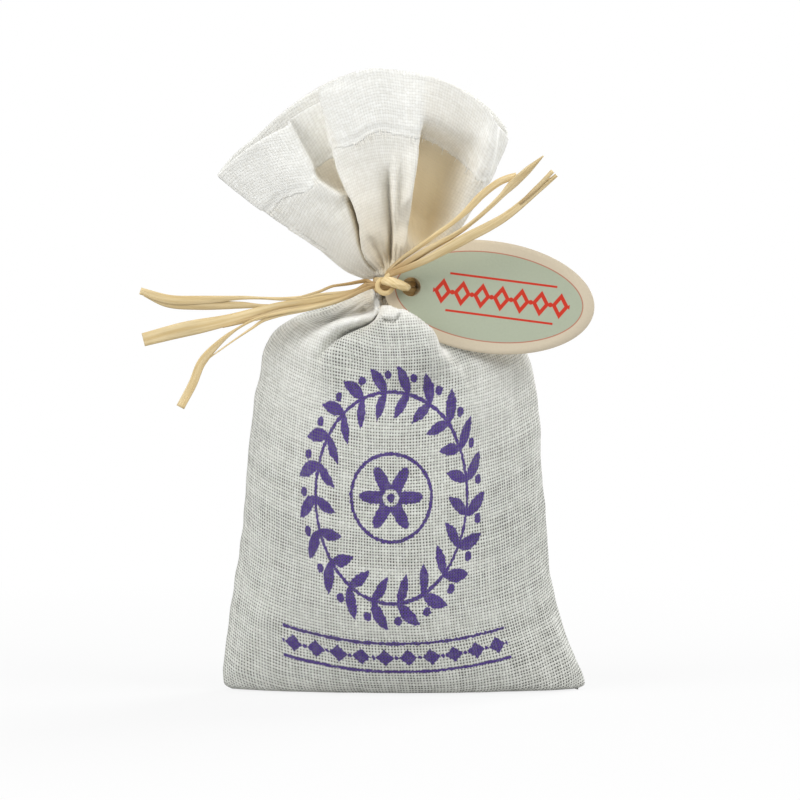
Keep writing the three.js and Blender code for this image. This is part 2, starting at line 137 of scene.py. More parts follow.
# The bag's outline, as heights with the place of its left edge, right edge, front and back, and how
# sharply a section turns at its sides.
LEFT_EDGE = (
    (0, -49.6), (1.6, -52.0), (5.1, -52.1), (8.5, -51.6), (20, -50.1), (37.2, -47.5), (60.2, -45.2),
    (83.1, -43.1), (91.7, -41.4), (97.4, -40.3), (100.3, -38.8), (103.1, -36.5), (106, -32), (108, -26),
    (109.8, -19.5), (111.4, -13), (112.6, -8.1),
)
RIGHT_EDGE = (
    (0, 50), (1.4, 52.3), (4, 51.7), (8.5, 50.1), (14.3, 47.8), (20, 45.5), (31.5, 42.7), (48.7, 40.6),
    (71.7, 38.9), (83.1, 38), (91.7, 37.1), (97.4, 34.9), (101, 31.5), (104.5, 26.5), (107.5, 18.5),
    (110.5, 9.5), (112.6, 2.1),
)
FRONT_DEPTH = (
    (0, 12.5), (1.5, 14.4), (4, 16), (12, 19), (24, 21.2), (45, 22.4), (60, 22), (75, 20.3), (89, 17.3),
    (97, 14.6), (103.5, 10.6), (108, 7.6), (112.6, 5.1),
)
BACK_DEPTH = (
    (0, 12.5), (4, 16), (12, 19), (24, 20.8), (45, 21.8), (60, 21.5), (75, 19.8), (89, 17), (97, 14),
    (103.5, 10), (108, 7.4), (112.6, 5.1),
)
PINCH = ((0, 0.8), (60, 0.74), (97, 0.6), (112.6, 0.5))

# The rim of the mouth, from the left seam to the right one.
FRONT_RIM = (
    (-53.0, 0, 147.0), (-47.8, -3.5, 151.8), (-42.3, -6, 155.8), (-37.5, -7, 158.6), (-33.4, -6.5, 160.6),
    (-29.4, -3.5, 163.8), (-25.8, -1.5, 167.6), (-22.6, -2.5, 171.0), (-20.7, -6.5, 172.6),
    (-15.3, -10.5, 175.6), (-9.0, -11, 177.0), (-4.0, -8.8, 176.8), (-1.1, -8.2, 176.5), (4.5, -9.5, 175.6),
    (11.6, -8, 173.4), (18.7, -5, 169.5), (23.9, -3.5, 165.2), (25.9, -3, 161.5), (27.4, 1.5, 160.1),
    (29.4, 3, 157.6),
)
BACK_RIM = (
    (-53.0, 0, 147.0), (-48.3, 4.5, 152.7), (-41.8, 7.5, 158.4), (-33.8, 9.5, 165.4), (-27.5, 11, 170.0),
    (-19.2, 12.5, 174.6), (-9.2, 11, 176.9), (0.3, 10.5, 176.5), (10.3, 11.5, 174.3), (19.0, 11, 170.2),
    (24.7, 9, 165.6), (28.3, 6.5, 161.0), (29.4, 3, 157.6),
)
# Where each column of the flare heads for as it leaves the neck: share across, sideways, upwards, forwards.
FLARE_PULL = (
    (0, -9.4, -0.9, 0), (0.2, -14, 12, 4), (0.35, -8, 22, 6), (0.55, 0, 27, 7), (0.75, 7, 22, 5),
    (0.9, 13, 14, 2), (1, 16.1, 9, 0),
)

# The same for the left seam, which leaves the neck level.
FLARE_LEFT = (-6.9, 0, -0.7)

# Folds on the front, in the plane of the picture (millimetres across and up): points, how far out,
# width on the left hand and the right hand of the line at its start and end, the shares over which
# it fades in and out, and how far the crest slides towards the left hand.
FLARE_FOLDS = (
    # The edge of the middle column, which stands over the hollow on its left.
    (((-22.4, 173), (-21.4, 165), (-20.5, 159), (-19.6, 154.2), (-18.1, 148.2), (-16, 143.4),
     (-13.6, 138.6), (-12.1, 133.2), (-11.5, 127.8), (-10, 123), (-7.3, 119.4)), 1.8, (6, 2.5), (0.6, 0.5),
     0.03, 0.15, -0.9),
    # The ledge at the foot of that hollow.
    (((-27.5, 148.5), (-24.6, 145.2), (-21, 142.8), (-16.8, 140.6)), 1.6, (0.7, 0.7), (4, 3), 0.4, 0.15,
     0.4),
    # The two narrow pleats in the middle.
    (((-4, 152), (-3.9, 145), (-3.8, 139), (-3.3, 131), (-3.6, 125.4), (-4.2, 120.6)), -6, (0.6, 0.6),
     (2.4, 1.2), 0.3, 0.1, 0),
    (((-1.9, 158), (-2.4, 149), (-2.7, 140), (-2.5, 132), (-3, 125), (-3.7, 120)), 1.8, (0.8, 0.6),
     (0.7, 0.6), 0.4, 0.2, -0.2),
    (((-0.6, 157), (-1.2, 148), (-1.7, 138), (-1.9, 130), (-2.7, 121)), -1.5, (0.7, 0.7), (0.7, 0.7), 0.4,
     0.3, 0),
    (((4.6, 159), (3.4, 150.6), (2.2, 144), (0.8, 136.2), (-0.2, 130.2), (-1.4, 123)), 1.6, (0.6, 0.9),
     (2.2, 1.4), 0.25, 0.5, 0.4),
    (((-9.5, 131), (-7.2, 124.5), (-6, 119.5)), -2.5, (1.2, 0.8), (1.2, 0.8), 0.5, 0.1, 0),
    # The fold beside the right seam.
    (((26.3, 163.1), (22.6, 150.2), (19.1, 138.5), (11.7, 126)), 2.4, (0.8, 0.8), (3.5, 2), 0.2, 0.3, 0),
)
# Hollows between the folds: the line on each side, both downwards, the depth, how softly it starts from
# the left and from the right at top and bottom, the shares over which it fades in and out, and how much
# painted warm shade darkens it.
FLARE_HOLLOWS = (
    (((-37, 168), (-32.4, 160.8), (-29.6, 155.5), (-26.6, 150), (-24.8, 146.2), (-21, 143.6),
     (-16.2, 141.6)), ((-22.6, 174), (-21.5, 165), (-20.7, 159), (-19.8, 154.2), (-18.3, 148.2),
     (-16.2, 143.4), (-15.2, 141.4)), -6.4, (4, 1), (0.6, 0.6), 0, 0.04, 0.42),
    (((-17, 141.2), (-15.2, 136.5), (-13.8, 131.5), (-12.8, 127), (-11, 122.5), (-8.2, 119)), ((-15.6, 142),
     (-13.8, 138.6), (-12.3, 133.2), (-11.7, 127.8), (-10.2, 123), (-7.5, 119.4)), -7, (1, 0.6), (0.5, 0.4),
     0.06, 0.1, 0.7),
    (((4.9, 158), (3.65, 150.6), (2.45, 144), (1.3, 136.2), (0.4, 130.2), (-0.8, 123), (-1.8, 119.5)),
     ((26.2, 158), (24.4, 153.5), (22, 149), (19.9, 144.6), (16.9, 137.4), (13, 130), (8, 124), (2, 119.5)),
     -8, (0.9, 2.4), (9, 3), 0.26, 0.4, 0.82),
)
POUCH_FOLDS = (
    # A pleat comes down from the knot and turns left into a roll, with a pocket above and a crease below it.
    (((-7.7, 114), (-7.6, 110.6), (-7.4, 107.4)), 5.5, (1.1, 1.0), (0.8, 0.9), 0.12, 0.05, 0),
    (((-7.6, 107.4), (-12.3, 106.0), (-17.2, 104.6), (-22, 102.1), (-26.2, 98.8), (-28.9, 94.6),
     (-30, 90.5)), 5.5, (1.6, 4.5), (1.3, 4), 0.02, 0.75, 0),
    (((-9, 109), (-13, 108.2), (-17.2, 107.3), (-26.9, 104.8), (-32, 101.8)), -3.5, (0.8, 1.8), (1.5, 4),
     0.1, 0.5, 0),
    (((-6.4, 106.2), (-10.9, 104.4), (-16.5, 101.9), (-20.6, 99.4), (-22.6, 96.6), (-23.2, 92.5)), -5,
     (0.8, 1.2), (0.9, 3), 0.05, 0.5, 0),
    (((-5.4, 105.6), (-10.9, 103), (-16.5, 100.2), (-20.3, 97.2), (-21.7, 93.8), (-22, 89), (-20.5, 81)), 4,
     (4.5, 9), (0.8, 1.5), 0.1, 0.5, -0.8),
    (((-6.5, 107.6), (-6.2, 105.4)), -4, (1, 1), (1, 1), 0.2, 0.2, 0),
    # The slack of the front panel.
    (((13.1, 96), (15.4, 88.8), (18.9, 80.2), (22.3, 70.2)), 2.4, (1.3, 2.5), (6, 9), 0.1, 0.6, 0.9),
    (((-1, 100), (-3, 85), (-3, 60)), 1.6, (9, 16), (9, 16), 0.3, 0.6, 0),
    (((-40, 94), (-36, 82), (-34, 66)), -1.3, (3, 5), (4, 6), 0.3, 0.5, 0),
    (((30, 95), (33, 84), (34, 70)), -1.3, (3, 5), (4, 6), 0.3, 0.5, 0),
    (((40.3, 24.5), (45.1, 13.1), (50.3, 2)), 1.2, (3, 3), (3, 3), 0.4, 0.2, 0),
    (((-39, 26), (-45, 12), (-50, 3)), 1.0, (3, 3), (3, 3), 0.4, 0.2, 0),
)
# Folds that stand out further than this are rolls, which are flat on top.
ROLL_FROM = 5.0
ROLL_POWER = 4.0

# A small dent under the panel's folded edge.
LIP_FOLDS = (
    (((-6.6, 106.2), (-5, 105.8), (-3.3, 105.5), (-2, 106.1), (-1.2, 107.3), (-0.7, 108.5)), -2.4,
     (0.6, 0.5), (0.7, 0.5), 0.1, 0.3, 0),
)
# The front panel's top edge folds up over the tag's lower left side: the line where the fold starts,
# then its course as distance below the line, how far out and how far up.
LIP = (
    (-6.6, 109.6), (-4.4, 107.8), (-2.3, 106.1), (0.2, 103.9), (2.8, 102.2), (6.9, 100.1), (11.6, 97.6),
    (14.5, 94.5),
)
LIP_OUT = ((0, 0), (0.8, 3.6), (1.6, 6.1), (2.4, 7), (3, 7.3), (3.6, 7.5), (6, 7.1), (10, 4.8), (17, 0))
LIP_UP = ((0, 0), (0.8, 0.3), (1.6, 1.9), (2.4, 4.7), (3, 6.2), (3.6, 6.3), (6, 5), (10, 2.6), (17, 0))
LIP_OUT_ALONG = (
    (0, 0), (0.04, 0.4), (0.15, 0.75), (0.35, 0.95), (0.6, 1.1), (0.75, 1.1), (0.88, 0.75), (1, 0),
)
LIP_UP_ALONG = (
    (0, 0), (0.04, 0.74), (0.11, 1.0), (0.19, 1.08), (0.27, 1.16), (0.34, 1.3), (0.435, 1.48), (0.54, 1.45),
    (0.668, 1.33), (0.75, 1.2), (0.84, 0.75), (1, 0),
)

# The tie: the middle of the knot's ring, and the strands of raffia.
RING = np.array((-5.3, -11.359, 116.6))
STRAND_THICK = 0.385
STRAND_APART = 0.25
STRAND_COLUMNS = 9
STRAND_EDGE = 0.35
TAIL_POINTS = 90
# The turns round the neck: the height of each, and the rise and radius of its two strands.
WRAPS = (("raffia_wrap_lower", 114.15), ("raffia_wrap_upper", 116.85))
WRAP_STRANDS = ((-0.62, 6.2), (0.55, 6.36))
WRAP_START = 200
WRAP_POINTS = 120
# The knot: its ring's turn in degrees, half width, half height and widths along it, where the strands
# of each side bend and end, and short inner strands as points, width and brightness, made darker
# by painted shade inside the ring.
KNOT_TURN = (104, 342)
KNOT_WIDE = 2.15
KNOT_TALL = 2.1
KNOT_POINTS = 60
KNOT_WIDTH = ((0, 0.9), (0.2, 1.3), (0.6, 1.45), (1, 1.25))
KNOT_LEFT = ((-7.6, -10.8, 116.2), (-6.2, -10.9, 116.3))
KNOT_RIGHT = ((-4.9, -11.6, 118.9), (-5.2, -11.5, 117.6))
KNOT_STRANDS = (
    (((-7.4, -10.4, 115), (-6.4, -10.7, 115.1), (-4.6, -10.9, 115.4), (-2.6, -11.4, 116)), 1.5, 0.68),
    (((-7.4, -10.2, 116), (-6.4, -10.5, 116), (-4.4, -10.9, 116.4), (-2.4, -11.4, 116.8)), 1.5, 0.74),
    (((-6.2, -10.6, 116.4), (-5.4, -10.9, 117.2), (-4.9, -11.2, 118.3), (-4.6, -11.4, 119.4)), 1.6, 0.8),
)
KNOT_END = ((-5.8, -12.4, 117), (-5.2, -12.9, 118.2), (-4.3, -13, 119.1), (-3.5, -12.9, 119.6))
# The rolled strand through the tag's hole: its route, and its radius and brightness by distance along it,
# with painted shade on the leg that goes back behind the tag.
LOOP = (
    (-6, -12, 117.3), (-4.9, -13, 117.4), (-3.4, -13.6, 117.1), (-1.8, -13.7, 116.6), (-0.4, -13.1, 116.1),
    (0.6, -11.8, 115.7), (0.95, -9.9, 115.5), (0.5, -8.5, 115.5), (-0.8, -8.1, 115.6), (-2.2, -8.1, 115.7),
)
LOOP_POINTS = 80
LOOP_SIDES = 28
LOOP_RADIUS = ((0, 0.9), (1.6, 1.25), (4, 1.34), (6.6, 1.25), (8.6, 0.98), (20, 0.9))
LOOP_SHADE = ((0, 1.14), (7.5, 1.1), (10, 0.75), (20, 0.75))
# The loose ends: width, and the route from the middle of the knot's ring, as in the part's source.
TAILS = {
    "raffia_tail_left_upper": (4.2, ((-5.3, 2.2, 0.6), (-11.6, 1.9, -1.2), (-19.3, 1.8, -2.3),
        (-29.8, 1.4, -4), (-41.6, 0.4, -4.7), (-53, -0.6, -5), (-61.3, -1.1, -4.6), (-69.3, -1.6, -2))),
    "raffia_tail_left_middle": (4.0, ((-5.3, 1, -0.2), (-13, 0.4, -3.2), (-20.1, -0.1, -5.2),
        (-28.7, -0.6, -6.6), (-37.3, -1.1, -8.6), (-45.8, -1.6, -10.6), (-57.3, -2.6, -12.9),
        (-68.4, -3.6, -15.7))),
    "raffia_tail_left_lower": (2.6, ((-5.3, -0.2, -1), (-13, -1.1, -4.6), (-21.6, -1.8, -6.9),
        (-30.1, -2.6, -8.6), (-37.6, -3.1, -10.9), (-45.6, -4.1, -16), (-51.6, -5.1, -21.7),
        (-54.3, -5.9, -28), (-57.8, -6.6, -34.6))),
    "raffia_tail_right_upper": (2.6, ((0.9, 0, 3.6), (4.7, -1, 7.2), (9, -2.8, 10.3), (13.6, -4.7, 13.7),
        (18.4, -6.8, 17.1), (22.4, -8.4, 20.5), (27, -10.4, 25.4), (31.9, -12.4, 29.1), (36.7, -14.4, 31))),
    "raffia_tail_right_middle": (2.6, ((1, -1, 3.4), (6.8, -2.9, 7.8), (12.7, -5.4, 11.7),
        (22.2, -9.3, 17.1), (29, -12.2, 22.3), (35.6, -15, 28.3), (39.9, -16.8, 32.3),
        (44.2, -18.6, 36.3))),
    "raffia_tail_right_lower": (3.2, ((1.1, -2, 3.2), (6.5, -3.7, 6), (11.3, -5.7, 8.5), (16.4, -7.9, 11.4),
        (21.9, -10.2, 14.5), (28.4, -13, 17.4), (33.9, -15.3, 20), (42.4, -18.8, 26.8),
        (47.3, -20.9, 31.4))),
}
# Strands of each loose end: (share along, place across, width) rows, brightness.
STRANDS = {
    "raffia_tail_left_upper": (
        (((0, -0.6, 1.2), (0.06, -1.5, 1.2), (0.15, -1.3, 1.5), (0.28, -1.0, 1.4), (0.38, -0.3, 1.0),
         (0.46, 0.35, 0.8), (0.56, 0.75, 1.2), (0.735, 0.5, 2.4), (0.865, 0.3, 2.6), (1, 0.1, 2.0)), 1.04),
        (((0.2, -2.2, 1.0), (0.36, -2.3, 1.0), (0.46, -1.9, 1.1), (0.56, -1.35, 2.0), (0.735, -1.0, 2.7),
         (0.865, -0.9, 2.4), (0.98, -0.3, 1.5)), 0.93),
        (((0, 0.3, 1.1), (0.05, 0.7, 1.0), (0.14, 1.1, 0.8), (0.22, -0.1, 0.8), (0.32, -0.8, 0.6)), 0.9),
    ),
    "raffia_tail_left_middle": (
        (((0, -0.2, 1.1), (0.08, -0.7, 1.6), (0.2, 0.1, 2.2), (0.38, 0.3, 2.9), (0.6, 0.1, 3.2),
         (0.8, 0, 4.3), (1, 0, 3.8)), 1.0),
        (((0, -0.6, 0.8), (0.08, -1.3, 1.2), (0.2, -1.2, 1.5), (0.38, -1.2, 1.8), (0.52, -1.3, 1.2),
         (0.66, -1.5, 0.5)), 0.86),
    ),
    "raffia_tail_left_lower": (
        (((0, -0.3, 1.1), (0.1, 0, 1.1), (0.26, 0.2, 1.2), (0.45, 0.5, 0.8), (0.57, 0.6, 0.7),
         (0.62, 0.6, 1.1), (0.69, 0.35, 1.8), (0.78, 0, 2.5), (1, 0, 2.5)), 1.0),
        (((0, -0.2, 0.8), (0.39, -0.3, 0.9), (0.46, -0.5, 0.9), (0.53, -1.4, 0.7), (0.6, -1.6, 0.5),
         (0.7, -1.35, 0.4), (0.76, -0.9, 0.3)), 1.08),
    ),
    "raffia_tail_right_upper": (
        (((0, 0, 1.2), (0.3, 0.1, 1.3), (0.5, 0.1, 1.3), (0.6, 0.1, 1.7), (0.7, 0.2, 2.1), (0.95, 0.2, 2.0),
         (1, 0.2, 1.6)), 1.12),
    ),
    "raffia_tail_right_middle": (
        (((0, 0.3, 1.4), (0.15, 1.0, 1.5), (0.35, 1.2, 1.3), (0.5, 0.9, 1.2), (0.7, 0.3, 1.5),
         (0.8, 0, 2.5), (0.88, 0, 2.2), (0.95, 0, 1.2), (1, 0, 0.3)), 0.97),
        (((0, 0.7, 0.9), (0.15, 1.7, 0.9), (0.35, 1.8, 0.7), (0.5, 1.3, 0.4)), 0.8),
    ),
    "raffia_tail_right_lower": (
        (((0, 0.5, 1.6), (0.1, 1.2, 1.8), (0.25, 1.6, 2.2), (0.4, 1.6, 3.0), (0.55, 1.2, 2.8),
         (0.7, 0.4, 2.3), (0.85, 0.2, 1.9), (1, 0.7, 1.0)), 1.0),
        (((0.76, -0.2, 0.6), (0.88, -0.5, 1.3), (1, -0.9, 1.2)), 1.08),
    ),
}

# The tag: an oval card that hangs by the hole at its left end.
HOLE = np.array((2.0, -9.66, 115.7))
TAG_NORMAL = np.array((-0.03455, -0.98942, 0.14089))
TAG_TILT = math.radians(7.4)
TAG_LONG = 60.0
TAG_WIDE = 32.0
TAG_THICK = 0.6
TAG_COLUMNS = 220
TAG_RINGS = 15
# The rounding of its edge: how far the faces stop short, and how much of the edge is upright.
TAG_SOFT = 0.14
TAG_UPRIGHT = 0.45
TAG_BORDER = 3.3
# The room that the cloth leaves: behind the tag, past its ends and past its sides.
TAG_ROOM = 0.35
TAG_ROOM_LONG = 2.0
TAG_ROOM_WIDE = 1.5
HOLE_OFFSET = 22.3
HOLE_RADIUS = 2.7
TAG_TURNS = 40.0

# The generic print on the front: an oval wreath with a flower, and a band of diamonds below it.
PRINT_ACROSS = 54.0
WREATH_HEIGHT = 56.6
WREATH_WIDE = 24.0
WREATH_TALL = 30.0
WREATH_REACH = 27.5
LEAF_PAIRS = 20
LEAF_PITCH = 8.7
LEAF_LONG = 4.6
LEAF_WIDE = 1.75
PETALS = 6.0
BAND_HEIGHT = 11.0
BAND_PITCH = 6.6
THREAD_PITCH = 0.9
THREAD_HALF = 0.3


def smooth(share):
    """0 to 1 with a soft start and end."""
    share = np.clip(share, 0.0, 1.0)
    return share * share * (3.0 - 2.0 * share)


def ramp(value, low, high):
    """0 below low, 1 above high and soft between them."""
    return smooth((np.asarray(value, dtype=float) - low) / (high - low))


def read(pairs, at):
    """Values of a curve through (place, value) pairs, smooth and without overshoot."""
    x, y = np.array(pairs, dtype=float).T
    step = np.diff(x)
    rise = np.diff(y) / step
    slope = np.empty_like(y)
    slope[0], slope[-1] = rise[0], rise[-1]
    first, second = 2 * step[1:] + step[:-1], step[1:] + 2 * step[:-1]
    with np.errstate(divide="ignore", invalid="ignore"):
        mean = (first + second) / (first / rise[:-1] + second / rise[1:])
    slope[1:-1] = np.where(rise[:-1] * rise[1:] > 0, mean, 0.0)
    at = np.clip(np.asarray(at, dtype=float), x[0], x[-1])
    k = np.clip(np.searchsorted(x, at, side="right") - 1, 0, len(x) - 2)
    t = (at - x[k]) / step[k]
    low = (1 + 2 * t) * (1 - t) ** 2 * y[k] + t * (1 - t) ** 2 * step[k] * slope[k]
    high = t * t * (3 - 2 * t) * y[k + 1] + t * t * (t - 1) * step[k] * slope[k + 1]
    return low + high


def lengths(points):
    """Distance along a row of points, from its start."""
    return np.concatenate(([0.0], np.cumsum(np.linalg.norm(np.diff(points, axis=0), axis=1))))


def evenly(points, count):
    """The same route with this many points, equal distances apart."""
    run = lengths(points)
    at = np.linspace(0, run[-1], count)
    return np.column_stack([np.interp(at, run, points[:, k]) for k in range(points.shape[1])])


def curve(points, count):
    """Evenly spaced points on a smooth curve through the given ones."""
    p = np.array(points, dtype=float)
    p = np.vstack([2 * p[0] - p[1], p, 2 * p[-1] - p[-2]])
    dense = []
    for a, b, c, d in zip(p, p[1:], p[2:], p[3:]):
        t1 = math.sqrt(np.linalg.norm(b - a))
        t2 = t1 + math.sqrt(np.linalg.norm(c - b))
        t3 = t2 + math.sqrt(np.linalg.norm(d - c))
        t = np.linspace(t1, t2, CURVE_STEPS, endpoint=False)[:, None]
        ab = a + (b - a) * (t / t1)
        bc = b + (c - b) * ((t - t1) / (t2 - t1))
        cd = c + (d - c) * ((t - t2) / (t3 - t2))
        abc = ab + (bc - ab) * (t / t2)
        bcd = bc + (cd - bc) * ((t - t1) / (t3 - t1))
        dense.append(abc + (bcd - abc) * ((t - t1) / (t2 - t1)))
    dense.append(p[-2][None])
    return evenly(np.vstack(dense), count)


def unit(vectors):
    """The same directions with length 1."""
    return vectors / np.maximum(np.linalg.norm(vectors, axis=-1, keepdims=True), 1e-9)


def headings(way):
    """The direction of a route at each of its points."""
    return unit(np.gradient(way, axis=0))


def both(first, second):
    """Two numbers for each place of a net."""
    return np.stack(np.broadcast_arrays(first, second), axis=-1)


def field(points, size, seed):
    """A smooth random field, about -1 to 1, with bumps of about this size."""
    chance = np.random.default_rng(seed)
    flat = points.reshape(-1, points.shape[-1])
    waves = unit(chance.normal(size=(WAVES, flat.shape[1])))
    waves *= TURN / size * chance.uniform(0.6, 1.4, (WAVES, 1))
    total = np.sin(flat @ waves.T + chance.uniform(0, TURN, WAVES)).sum(axis=1)
    return (total / WAVES_SIZE).reshape(points.shape[:-1])


def as_seen(points):
    """Where points show in the plane of the picture, in millimetres across and up."""
    lift = points[..., 2] - VIEW_HEIGHT
    sin, cos = math.sin(VIEW_ELEVATION), math.cos(VIEW_ELEVATION)
    scale = VIEW_DISTANCE / (VIEW_DISTANCE + points[..., 1] * cos - lift * sin)
    across = VIEW_SIDE + (points[..., 0] - VIEW_SIDE) * scale
    up = VIEW_HEIGHT + (lift * cos + points[..., 1] * sin) * scale
    return np.stack([across, up], axis=-1)


def srgb(red, green, blue):
    """A colour written as 0 to 255, as a shader takes it."""
    levels = [channel / 255 for channel in (red, green, blue)]
    return tuple(v / 12.92 if v <= 0.04045 else ((v + 0.055) / 1.055) ** 2.4 for v in levels) + (1.0,)


def bell(value, width, power=2):
    """1 at 0, and smoothly less on both sides of it."""
    return np.exp(-np.abs(value / width) ** power)


def add_object(name, data, place=(0, 0, 0)):
    """A new object in the scene."""
    thing = bpy.data.objects.new(name, data)
    thing.location = place
    bpy.context.scene.collection.objects.link(thing)
    return thing


def set_mark(data, name, values):
    """Gives each point of a mesh a number."""
    layer = data.attributes.new(name, "FLOAT", "POINT")
    layer.data.foreach_set("value", values.reshape(-1).astype(np.float32))


class Shape:
    """Points, faces, texture places and shades of one piece, gathered before its mesh is made."""

    def __init__(self):
        self.points, self.faces, self.places, self.shades = [], [], [], []
        self.count = 0

    def grid(self, points, places, shades, ends=True):
        """Adds a net whose last column joins its first one. places has one column more than points."""
        rows, columns = points.shape[:2]
        start = self.count
        self.points.append(points.reshape(-1, 3))
        self.shades.append(np.broadcast_to(shades, (rows, columns)).reshape(-1))
        self.count += rows * columns
        for i in range(rows - 1):
            for j in range(columns):
                corners = ((i, j), (i, j + 1), (i + 1, j + 1), (i + 1, j))
                self.faces.append([start + a * columns + b % columns for a, b in corners])
                self.places.extend(places[a, b] for a, b in corners)
        if ends:
            for i, order in ((0, range(columns - 1, -1, -1)), (rows - 1, range(columns))):
                self.faces.append([start + i * columns + j for j in order])
                self.places.extend(places[i, j] for j in order)

    def build(self, name, material, mapping="Strand", shade="Shade"):
        """The piece as a mesh object with its material."""
        data = bpy.data.meshes.new(name)
        data.from_pydata((np.vstack(self.points) * MM).tolist(), [], self.faces)
        layer = data.uv_layers.new(name=mapping)
        layer.uv.foreach_set("vector", np.array(self.places, dtype=np.float32).reshape(-1))
        set_mark(data, shade, np.concatenate(self.shades))
        data.validate()
        data.shade_smooth()
        data.materials.append(material)
        return add_object(name, data)


def rework(piece, change):
    """Changes the mesh of a piece by a function of its net."""
    net = bmesh.new()
    net.from_mesh(piece.data)
    change(net)
    net.to_mesh(piece.data)
    net.free()
    piece.data.shade_smooth()


def finish_piece(piece, body, slot, *nodes):
    """Fastens a piece to its body and hides the imported parts of the nodes it stands for."""
    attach(piece, body)
    if nodes:
        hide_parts(*nodes)
    return piece


# Materials


def plug(tree, socket, item):
    """Sets an input of a node to a number or a colour, or links it to an output."""
    if isinstance(item, Value):
        item = item.socket
    if isinstance(item, bpy.types.NodeSocket):
        tree.links.new(item, socket)
    else:
        socket.default_value = item


def operation(kind):
    """A method of Value that adds a Math node of this kind."""
    return lambda value, *others: value.math(kind, *others)


class Value:
    """A number in a material's nodes. Arithmetic on it adds Math nodes."""

    def __init__(self, tree, socket):
        self.tree, self.socket = tree, socket

    def through(self, node, *items):
        """The output of a new node that takes these items."""
        for socket, item in zip(node.inputs, items):
            plug(self.tree, socket, item)
        return Value(self.tree, node.outputs[0])

    def math(self, kind, *others):
        node = self.tree.nodes.new("ShaderNodeMath")
        node.operation = kind
        return self.through(node, self, *others)

    def step(self, low, high):
        """0 at low, 1 at high and soft between; low may be the larger."""
        node = self.tree.nodes.new("ShaderNodeMapRange")
        node.interpolation_type = "SMOOTHSTEP"
        return self.through(node, self, low, high, 0.0, 1.0)

    __add__ = __radd__ = operation("ADD")
    __mul__ = __rmul__ = operation("MULTIPLY")
    __sub__, __truediv__ = operation("SUBTRACT"), operation("DIVIDE")
    floor, fract = operation("FLOOR"), operation("FRACT")
    size, root = operation("ABSOLUTE"), operation("SQRT")
    least, most = operation("MINIMUM"), operation("MAXIMUM")
    sine, cosine, angle = operation("SINE"), operation("COSINE"), operation("ARCTAN2")

    def __rsub__(self, other):
        return (self * -1.0) + other


class Material:
    """A new material with its shader, and short ways to add nodes."""

    def __init__(self, name):
        self.material = bpy.data.materials.new(name)
        self.material.use_nodes = True
        self.tree = self.material.node_tree
        self.shader = self.tree.nodes["Principled BSDF"]

    def node(self, kind, **inputs):
        node = self.tree.nodes.new(kind)
        for name, item in inputs.items():
            plug(self.tree, node.inputs[name], item)
        return node

    def places(self, mapping):
        """The two numbers of a UV map, in millimetres."""
        source = self.node("ShaderNodeUVMap")
        source.uv_map = mapping
        parts = self.node("ShaderNodeSeparateXYZ", Vector=source.outputs[0])
        return Value(self.tree, parts.outputs[0]), Value(self.tree, parts.outputs[1])

    def mark(self, name):
        """The number that the mesh has at its points."""
        source = self.node("ShaderNodeAttribute")
        source.attribute_name = name
        return Value(self.tree, source.outputs["Fac"])

    def noise(self, x, y, z, detail=2.0):
        """Smooth noise, 0 to 1, that changes over about 1 unit of x, y and z."""
        spot = self.node("ShaderNodeCombineXYZ", X=x, Y=y, Z=z)
        node = self.node("ShaderNodeTexNoise", Vector=spot.outputs[0], Scale=1.0, Detail=detail)
        return Value(self.tree, node.outputs["Fac"])

    def chance(self, number):
        """A random number, 0 to 1, for each whole number."""
        node = self.node("ShaderNodeTexWhiteNoise")
        node.noise_dimensions = "1D"
        plug(self.tree, node.inputs["W"], number)
        return Value(self.tree, node.outputs["Value"])

    def mix(self, share, first, second, blend="MIX"):
        """A colour between two colours."""
        node = self.node("ShaderNodeMix")
        node.data_type = "RGBA"
        node.blend_type = blend
        for place, item in ((0, share), (6, first), (7, second)):
            plug(self.tree, node.inputs[place], item)
        return node.outputs[2]

    def shaded(self, colour, brightness):
        """A colour made lighter or darker."""
        return self.mix(1.0, colour, brightness, "MULTIPLY")

    def finish(self, colour, height, bump, roughness, **constants):
        """Gives the shader its colour, its bumps and its other values."""
        relief = self.node("ShaderNodeBump", Height=height, Strength=1.0, Distance=bump * MM)
        inputs = {"Base Color": colour, "Normal": relief.outputs[0], "Roughness": roughness}
        inputs.update((name.replace("_", " "), value) for name, value in constants.items())
        for name, item in inputs.items():
            plug(self.tree, self.shader.inputs[name], item)
        return self.material


